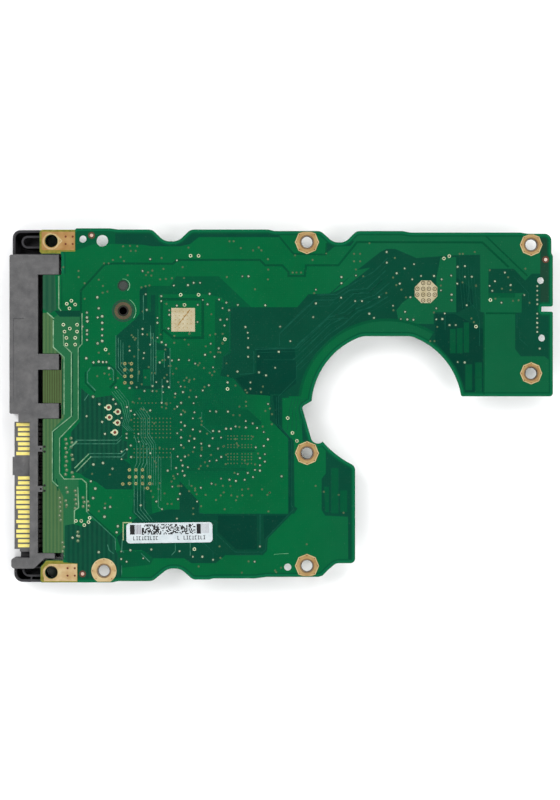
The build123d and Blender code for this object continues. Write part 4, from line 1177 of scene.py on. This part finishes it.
def component_side():
    """The mask, tracks and vias on the side that carries the chips."""
    outline, *holes = face_outlines("circuit_board", BOARD_UNDERSIDE)
    layers = component_side_areas() + [("edge", shape) for shape in border(outline, 0.7)]
    low = BOARD_UNDERSIDE - MASK_THICKNESS
    add_mask("component_side_mask_", outline, holes, layers, low, BOARD_UNDERSIDE)
    lines = bmesh.new()
    for i, (points, width) in enumerate(component_side_tracks()):
        add_track(lines, points, width, low - 0.01 - line_height(i), low + SUNK)
    lit = track_and_highlight_mask("mask_on_component_tracks", linear(20, 112, 74), linear(60, 140, 100))
    finished_piece("component_side_tracks", lines, lit)
    tin = bare_metal("via_tin", linear(196, 198, 180), linear(160, 164, 140), 0.2, (0.35, 0.5), 0.2)
    places = LEFT_VIAS + CENTRE_VIAS + RIGHT_VIAS + BURIED_VIAS
    dome_piece("component_side_vias", places, 0.3, low + SUNK, -0.022, 8, tin)


def chip_marks():
    """A shallow pin-one dimple on each chip and the pale polarity bar on each bulk capacitor."""
    dimples, bars = bmesh.new(), bmesh.new()
    for node in ("main_controller", "cache_memory", "motor_driver", "flash_memory", "supply_regulator"):
        low, high = lowest(node), highest(node)
        inset = 0.13 * min(high[0] - low[0], high[1] - low[1])
        corner, radius = (low[0] + inset, high[1] - inset), 0.05 * (high[0] - low[0]) + 0.1
        add_dome(dimples, corner, radius, low[2] + 0.003, -0.012, 24)
    epoxy = moulded_package("dimple_epoxy", linear(62, 62, 64))
    finished_piece("pin_one_dimples", dimples, epoxy)
    for (x1, y1, z), (x2, y2, _) in loose_solids("bulk_capacitors"):
        if x2 - x1 > y2 - y1:
            bar = rectangle(x1 + 0.7, y1 + 0.35, x1 + 1.5, y2 - 0.35)
        else:
            bar = rectangle(x1 + 0.35, y1 + 0.7, x2 - 0.35, y1 + 1.5)
        add_plate(bars, bar, z - 0.008, z + SUNK)
    finished_piece("polarity_bars", bars, ink_and_painted_light("polarity_bar", linear(120, 70, 30)))


def loose_solids(node):
    """The box of each separate solid in a CAD node, in mm, if it is more than 2 mm long and wide."""
    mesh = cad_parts[node].data
    parent = list(range(len(mesh.vertices)))

    def root(i):
        while parent[i] != i:
            parent[i] = parent[parent[i]]
            i = parent[i]
        return i
    for edge in mesh.edges:
        parent[root(edge.vertices[0])] = root(edge.vertices[1])
    groups = {}
    for vertex in mesh.vertices:
        groups.setdefault(root(vertex.index), []).append([value / MM for value in vertex.co])
    boxes = []
    for points in groups.values():
        low, high = [tuple(round(end(values), 3) for values in zip(*points)) for end in (min, max)]
        if high[0] - low[0] > 2 and high[1] - low[1] > 2:
            boxes.append((low, high))
    return sorted(set(boxes))


# ---------------------------------------------------------------- pads
SCREW_RINGS = [                   # x, y and outside diameter, mm
    (-46.55, -43.4, 6.6), (6.75, 42.9, 6.35), (6.75, -12.5, 6.3), (6.75, -42.1, 6.35), (65.6, 42.2, 5.95),
    (65.6, 8.45, 5.85),
]


def ring_plan(x, y):
    """The CAD box of the outer screw ring around a hole: a ring near an edge is cut short there."""
    for low, high in loose_solids("outer_screw_rings"):
        if low[0] < x < high[0] and low[1] < y < high[1]:
            return low, high
    raise ValueError("no screw ring at this hole")


def keep_in_plan(mesh_data, first, low, high):
    """Moves the points from number `first` on into a box's plan, so a mark ends where its CAD solid ends."""
    gap = 0.03
    for vertex in list(mesh_data.verts)[first:]:
        for axis in (0, 1):
            vertex.co[axis] = min(max(vertex.co[axis], low[axis] + gap), high[axis] - gap)


def stitch_holes():
    """Small plated holes that stitch the ground pads and the screw rings to the planes."""
    holes = bmesh.new()
    for columns, rows in (((-56.6, -54.75), (44.33, 42.4)), ((-56.1, -54.2), (-42.7, -44.66))):
        for y in rows:
            for x in columns:
                add_dome(holes, (x, y), 0.3, PAD_MARK_BASE, 0.01, 12)
    for x, y, outside in SCREW_RINGS:
        low, high = ring_plan(x, y)
        for dot in flat(circle((x, y), outside / 2 - 0.36, 0, 8)):
            if low[1] + 0.2 < dot[1] < high[1] - 0.2:
                add_dome(holes, dot, 0.14, PAD_MARK_BASE, 0.014, 10)
    dark = ink_and_painted_light("pad_via_shadow", linear(104, 44, 22))
    finished_piece("pad_stitch_holes", holes, dark)


def ring_rims():
    """The worn rim of each screw ring and the shadow round its hole."""
    level = PAD_MARK_BASE
    worn = bare_metal("worn_ring_rim", linear(232, 214, 166), linear(208, 182, 130), 0.2, (0.4, 0.55), 0.3)
    shade = ink_and_painted_light("ring_hole_shadow", linear(126, 98, 68), 1.2)
    rims, shadows = bmesh.new(), bmesh.new()
    for x, y, outside in SCREW_RINGS:
        first = len(rims.verts)
        sides = 40 if x < -40 else 8  # the lower left ring is round, the others are octagons
        add_ring(rims, (x, y), outside / 2 - 0.26, outside / 2 - 0.03, level, level + 0.01, sides)
        keep_in_plan(rims, first, *ring_plan(x, y))
        add_ring(shadows, (x, y), 1.67, 1.96, level, level + 0.008, 32)
    finished_piece("ring_hole_shadows", shadows, shade)
    finished_piece("ring_rims", rims, worn)


def square_grid(node, count, pitch):
    """Places in a square grid over the middle of a CAD node: {(column, row): place}."""
    x, y = middle(node)
    steps = [(i - (count - 1) / 2) * pitch for i in range(count)]
    return {(i, j): (x + steps[i], y + steps[j]) for i in range(count) for j in range(count)}


def thermal_pad_vias():
    """The faint vias of the square pad and the ringed ones of the octagonal pad: none in its corners."""
    level = PAD_MARK_BASE
    faint = ink_and_painted_light("tinned_via_shadow", linear(164, 140, 92))
    grid = square_grid("square_thermal_pad", 5, 1.05)
    dome_piece("square_pad_vias", grid.values(), 0.17, level, 0.01, 8, faint)
    eyes = bmesh.new()
    for (i, j), centre in square_grid("octagonal_thermal_pad", 4, 1.53).items():
        if not (i in (0, 3) and j in (0, 3)):
            add_ring(eyes, centre, 0.38, 0.58, level, level + 0.012)
            add_dome(eyes, centre, 0.17, level, 0.012, 8)
    shade = ink_and_painted_light("octagon_via_shadow", linear(74, 64, 36))
    finished_piece("octagon_pad_vias", eyes, shade)


def rib_shadows():
    """Painted shadows: dark dots for the pin-holes in the board's edge at the two ribs of the plug's spine.
    """
    places = [(-62.15, y) for y in (-10.8, -12.1, -21.0, -22.4)]
    shade = ink_and_painted_light("pin_hole_shadow", linear(12, 16, 12))
    dome_piece("rib_pin_hole_shadows", places, 0.36, MARK_BASE, 0.01, 12, shade)


def tab_borders():
    """Olive mask that frames the two gold ground pads, thinned where it runs off the copper."""
    top = [(-63.4, 40.35), (-62.95, 39.9), (-57.9, 39.9), (-57.9, 40.4), (-54.1, 40.4), (-54.1, 46.1),
           (-62.9, 46.1), (-63.4, 45.6)]
    bottom = [(-63.15, -42.5), (-61.7, -40.75), (-57.3, -40.75), (-57.3, -41.2), (-53.5, -41.5),
              (-53.5, -46.4), (-62.7, -46.4), (-63.15, -46.0)]
    mesh_data = bmesh.new()
    for outline, screw in zip((top, bottom), EAR_SCREWS):
        shapes = painted_areas(outline, [flat(circle(screw, 1.68, 0, 40))], [])
        add_sheet(mesh_data, shapes["pour"], MARK_BASE, MARK_BASE + 0.012)
    finished_piece("tab_mask_borders", mesh_data, thinned_mask())


def screw_hole_liners():
    """Bright washer marks on the two ground pads and the dark plated walls of the screw holes, whose dark
    colour and extra thickness also paint the shade inside the holes.
    """
    mark = bare_metal("washer_mark", linear(236, 214, 160), linear(206, 172, 116), 0.3, (0.35, 0.45), 0.3)
    marks, base = bmesh.new(), PAD_TOP - SUNK
    for x, y in EAR_SCREWS:
        add_ring(marks, (x - 0.08, y - 0.12), 1.8, 2.2, base, PAD_TOP + 0.01, 40)
        for side in (-1, 1):
            add_track(marks, [(x + 1.0, y + 1.75 * side), (x + 2.75, y)], 0.28, base, PAD_TOP + 0.008)
    finished_piece("washer_marks", marks, mark)

    # the walls are real plating, drawn thicker and darker as painted shade inside the holes
    wall = bare_metal("painted_shade_plated_hole_wall", linear(120, 112, 104), linear(70, 62, 54), 0.6, (0.35, 0.55), 0.4)
    walls = bmesh.new()
    for x, y, _ in SCREW_RINGS:
        add_ring(walls, (x, y), 1.42, 1.72, BOARD_UNDERSIDE, PAD_TOP - 0.01, 40)
    finished_piece("plated_hole_walls", walls, wall)


def bushing_marks():
    """The painted shade of the dark halo and of the hole's lip, and the light arcs, painted highlights where
    parts under the board press its mask up.
    """
    halo = bmesh.new()
    add_ring(halo, OPEN_BUSHING, 2.25, 3.1, MARK_BASE, MARK_BASE + 0.006, 40)
    add_ring(halo, FILLED_HOLE, 1.4, 1.62, MARK_BASE, MARK_BASE + 0.006, 32)
    finished_piece("bushing_halo", halo, ink_and_painted_light("mask_shadow", linear(6, 66, 44)))
    level = highest("bushing_ring")[2]
    lip = bmesh.new()
    add_ring(lip, OPEN_BUSHING, 1.0, 1.36, level - SUNK, level + 0.006, 32)
    finished_piece("bushing_lip", lip, ink_and_painted_light("bushing_shadow", linear(26, 20, 14), 1.2))
    arcs = []
    for centre, radius, start, end, width in [(OPEN_BUSHING, 3.35, -35, 60, 0.16),
                                              (FILLED_HOLE, 1.72, -50, 95, 0.2)]:
        arcs.append((arc(centre, radius, [start + (end - start) * i / 14 for i in range(15)]), width))
    # the arcs are painted highlight on the steps in the mask
    rim = track_and_highlight_mask("mask_lit_rim", linear(70, 150, 100), linear(150, 190, 160))
    add_lines("bushing_arcs", arcs, rim, 0.012)


def fiducial_halos():
    """The dark red ring of bare laminate round each pink alignment dot."""
    halos = bmesh.new()
    for centre in fiducial_places():
        add_ring(halos, centre, 0.55, 0.92, MARK_BASE, MARK_BASE + 0.006, 24)
    red = ink_and_painted_light("bare_laminate_ring", linear(104, 44, 30))
    finished_piece("fiducial_halos", halos, red)


def fiducial_places():
    """Centres of the fiducial dots, from the CAD node's separate discs."""
    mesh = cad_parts["fiducial_dots"].data
    places = []
    for vertex in mesh.vertices:
        point = (vertex.co.x / MM, vertex.co.y / MM)
        near = [group for group in places if math.dist(group[0], point) < 1.6]
        if near:
            near[0].append(point)
        else:
            places.append([point])
    return [tuple((min(values) + max(values)) / 2 for values in zip(*group)) for group in places]


# ---------------------------------------------------------------- label
def label_print():
    """Generic machine-readable marks: two dark blocks, a dot pattern, bars and rows of plain dashes."""
    rng = random.Random(4)
    centre_x, centre_y = middle("barcode_label")
    level = highest("barcode_label")[2]
    turn = math.radians(0.8)
    black, grey = bmesh.new(), bmesh.new()

    def block(target, x, y, width, height):
        """A printed rectangle; its lower left corner is measured from just above the label's middle."""
        y += 0.2
        turned = [(centre_x + a * math.cos(turn) - b * math.sin(turn),
                   centre_y + a * math.sin(turn) + b * math.cos(turn))
                  for a, b in rectangle(x, y, x + width, y + height)]
        add_plate(target, turned, level - 0.002, level + 0.004)

    block(black, -10.35, -0.55, 1.25, 2.55)
    block(black, 7.15, -0.55, 1.1, 2.6)
    for i in range(4):
        block(grey, -8.9 + 0.4 * i, -0.5, 0.28, 2.5)
    for i in range(7):
        block(grey, 8.45 + 0.3 * i, -0.4, 0.12, 2.5)
    cell = 0.3
    for i in range(47):
        for j in range(9):
            if rng.random() < 0.52:
                block(black, -7.25 + cell * i, -0.62 + cell * j, cell * 0.98, cell * 0.98)
    for start, count in ((-9.5, 9), (2.1, 1), (3.7, 8)):
        for i in range(count):
            x = start + 0.74 * i
            block(black, x, -2.05, 0.5, 0.16)
            block(black, x + (0.18 if i % 2 else 0.0), -2.05, 0.17, 1.0)
            if i % 3:
                block(black, x, -1.2, 0.5, 0.16)
    finished_piece("label_dark_print", black, ink_and_painted_light("label_black", linear(20, 20, 22)))
    pale = ink_and_painted_light("label_grey", linear(160, 156, 164), 1.1)
    finished_piece("label_grey_bars", grey, pale)


def label_corner_mark():
    """The cream printed corner that shows where the label goes."""
    corner = [(-39.2, -30.75), (-41.5, -30.75), (-41.5, -35.4)]
    cream = ink_and_painted_light("cream_legend", linear(162, 174, 128), 1.2)
    add_lines("label_corner_mark", [(corner, 0.28)], cream, 0.015)


def scratches():
    """Two light handling marks on the mask and one brown scuff across the square pad."""
    lines = [([(-1.9, -39.1), (-0.4, -38.95), (1.9, -38.85)], 0.1), ([(-8.4, -39.25), (-5.6, -39.2)], 0.07)]
    pale = track_and_highlight_mask("mask_scratch", linear(70, 150, 105), linear(140, 190, 150))
    add_lines("mask_scratches", lines, pale, 0.006)
    scuff = ink_and_painted_light("pad_scuff", linear(150, 118, 66), 1.5)
    mesh_data = bmesh.new()
    level = PAD_TOP - 0.002
    for i in range(9):
        x, y = -23.95 - 0.36 * i, 25.2 - 0.46 * i
        stroke = [(x, y), (x - 0.42 + 0.1 * (i % 3), y - 0.5)]
        add_track(mesh_data, stroke, 0.22 + 0.12 * (i % 2), level, level + 0.006)
    finished_piece("pad_scuff", mesh_data, scuff)


# ---------------------------------------------------------------- CAD nodes that stay
def toned_by_place(material, darker, axis, start, end):
    """Turns a plated metal towards a darker tone between two places on the board."""
    tree = material.node_tree
    shader = tree.nodes["Principled BSDF"].inputs["Base Color"]
    plain = shader.links[0].from_socket
    split = tree.nodes.new("ShaderNodeSeparateXYZ")
    tree.links.new(tree.nodes.new("ShaderNodeTexCoord").outputs["Object"], split.inputs["Vector"])
    span = tree.nodes.new("ShaderNodeMapRange")
    span.inputs["From Min"].default_value = start * MM
    span.inputs["From Max"].default_value = end * MM
    tree.links.new(split.outputs[axis], span.inputs["Value"])
    tint = tree.nodes.new("ShaderNodeMix")
    tint.data_type, tint.blend_type = "RGBA", "MULTIPLY"
    tint.inputs[7].default_value = tuple(d / w for d, w in zip(darker[:3], linear(238, 212, 162)[:3])) + (1,)
    tree.links.new(span.outputs["Result"], tint.inputs["Factor"])
    tree.links.new(plain, tint.inputs[6])
    tree.links.new(tint.outputs[2], shader)


def dress(material, *nodes):
    """Gives CAD nodes a finished material."""
    for node in nodes:
        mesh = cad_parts[node].data
        mesh.materials.clear()
        mesh.materials.append(material)


def dress_frame():
    """Gives every CAD node its finished material."""
    gold = bare_metal("pad_gold", linear(238, 210, 160), linear(206, 168, 112), 0.3, (0.38, 0.55), 0.5)
    rings = bare_metal("ring_gold", linear(232, 208, 156), linear(206, 168, 112), 0.3, (0.4, 0.6), 0.5,
                       linear(168, 124, 76))
    tinned = bare_metal("tinned_copper", linear(236, 224, 188), linear(214, 198, 154), 0.4, (0.35, 0.5), 0.4,
                        linear(190, 168, 116))
    dress(laminate_edge(), "circuit_board")
    dress(plug_moulding(), "plug_housing")
    dress(contact_gold(), "plug_signal_contacts", "plug_power_contacts", "plug_secondary_contacts")
    for metal, darker, ends in ((gold, linear(206, 164, 104), ("Y", -38.0, -34.0)),
                                (rings, linear(208, 174, 118), ("X", -40.0, -30.0))):
        toned_by_place(metal, darker, *ends)
    dress(gold, "ear_ground_pads", "head_contact_pads", "motor_contact_pads")
    dress(rings, "outer_screw_rings", "inner_screw_rings")
    dress(tinned, "square_thermal_pad", "octagonal_thermal_pad")
    dress(bare_metal("bushing_copper", linear(104, 88, 60), linear(72, 60, 44), 0.2, (0.45, 0.6), 0.4),
          "bushing_ring")
    dress(bare_metal("fiducial_copper", linear(252, 220, 208), linear(230, 176, 158), 0.2, (0.4, 0.5), 0.3),
          "fiducial_dots")
    dress(label_paper(), "barcode_label")
    dress(moulded_package("chip_epoxy", linear(44, 44, 46)), "main_controller", "cache_memory",
          "motor_driver", "flash_memory", "power_switches", "supply_regulator", "surge_diodes")
    dress(moulded_package("peg_plastic", linear(56, 62, 58), (0.5, 0.7)), "pegged_block")
    solder = bare_metal("solder_tin", linear(205, 205, 208), linear(165, 166, 170), 0.85, (0.28, 0.45), 0.25)
    dress(solder, "controller_solder_balls", "motor_driver_leads", "flash_memory_leads", "power_switch_leads",
          "inductor_terminals", "bulk_capacitor_terminals", "surge_diode_terminals", "ceramic_capacitor_ends",
          "chip_resistor_ends")
    dress(moulded_package("ferrite", linear(62, 60, 58), (0.55, 0.8)), "power_inductors")
    dress(moulded_package("tantalum_mould", linear(196, 142, 44), (0.4, 0.55)), "bulk_capacitors")
    dress(bare_metal("crystal_can", linear(200, 202, 206), linear(176, 178, 182), 0.9, (0.25, 0.4), 0.5),
          "clock_crystal")
    dress(fired_ceramic("sensor_ceramic", linear(120, 96, 62), linear(150, 122, 82)), "shock_sensors")
    dress(fired_ceramic("capacitor_ceramic", linear(146, 116, 82), linear(176, 144, 104)),
          "ceramic_capacitors")
    dress(fired_ceramic("resistor_glaze", linear(26, 26, 30), linear(44, 44, 48)), "chip_resistors")


# ---------------------------------------------------------------- studio
def ground():
    """A plain pale floor under everything."""
    slab = bmesh.new()
    add_plate(slab, rectangle(-FLOOR_REACH, -FLOOR_REACH, FLOOR_REACH, FLOOR_REACH), -2.0, 0.0)
    new_object("studio_floor", slab, studio_floor())


def sky():
    """Soft white light from the sides, and a dark ceiling."""
    world = bpy.data.worlds.new("studio")
    bpy.context.scene.world = world
    world.use_nodes = True
    nodes, links = world.node_tree.nodes, world.node_tree.links
    direction = nodes.new("ShaderNodeTexCoord")
    split = nodes.new("ShaderNodeSeparateXYZ")
    ramp = nodes.new("ShaderNodeValToRGB")
    side, ceiling = ramp.color_ramp.elements
    side.position, side.color = 0.42, (0.95, 0.97, 1.0, 1)
    ceiling.position, ceiling.color = 0.7, BLACK
    links.new(direction.outputs["Generated"], split.inputs["Vector"])
    links.new(split.outputs["Z"], ramp.inputs["Fac"])
    links.new(ramp.outputs["Color"], nodes["Background"].inputs["Color"])
    nodes["Background"].inputs["Strength"].default_value = 1.25


def lamps():
    """Four large square lamps, each turned to the middle of the board: x and y in metres, and watts."""
    for name, x, y, power in [("key_light", -0.9, 0.5, 12.0), ("back_light", 0.5, 0.95, 9.0),
                              ("fill_light", 0.95, -0.4, 9.0), ("front_light", -0.4, -1.0, 9.0)]:
        data = bpy.data.lights.new(name, "AREA")
        data.energy, data.size = power, 0.9
        light = bpy.data.objects.new(name, data)
        light.location = (x, y, LAMP_HEIGHT)
        light.rotation_euler = (-Vector((x, y, LAMP_HEIGHT))).to_track_quat("-Z", "Y").to_euler()
        bpy.context.scene.collection.objects.link(light)


def camera_above():
    """The camera, straight above the board."""
    data = bpy.data.cameras.new("camera")
    data.lens, data.sensor_width, data.sensor_height, data.sensor_fit = 120.0, 36, 36, "VERTICAL"
    data.clip_start, data.clip_end = 0.01, 20  # metres
    camera = bpy.data.objects.new("camera", data)
    camera.location = (CAMERA_OVER[0] * MM, CAMERA_OVER[1] * MM, (BOARD_TOP + CAMERA_HEIGHT) * MM)
    bpy.context.scene.collection.objects.link(camera)
    bpy.context.scene.camera = camera


# ---------------------------------------------------------------- assembly
dress_frame()
solder_mask_sheets()
tracks_and_gaps()
via_pieces()
frosted_vias()
gold_field_vias()
rib_shadows()
component_side()
chip_marks()
tab_borders()
stitch_holes()
ring_rims()
thermal_pad_vias()
screw_hole_liners()
bushing_marks()
fiducial_halos()
label_print()
label_corner_mark()
scratches()
ground()
sky()
lamps()
camera_above()
bpy.context.scene.view_settings.view_transform = "Standard"
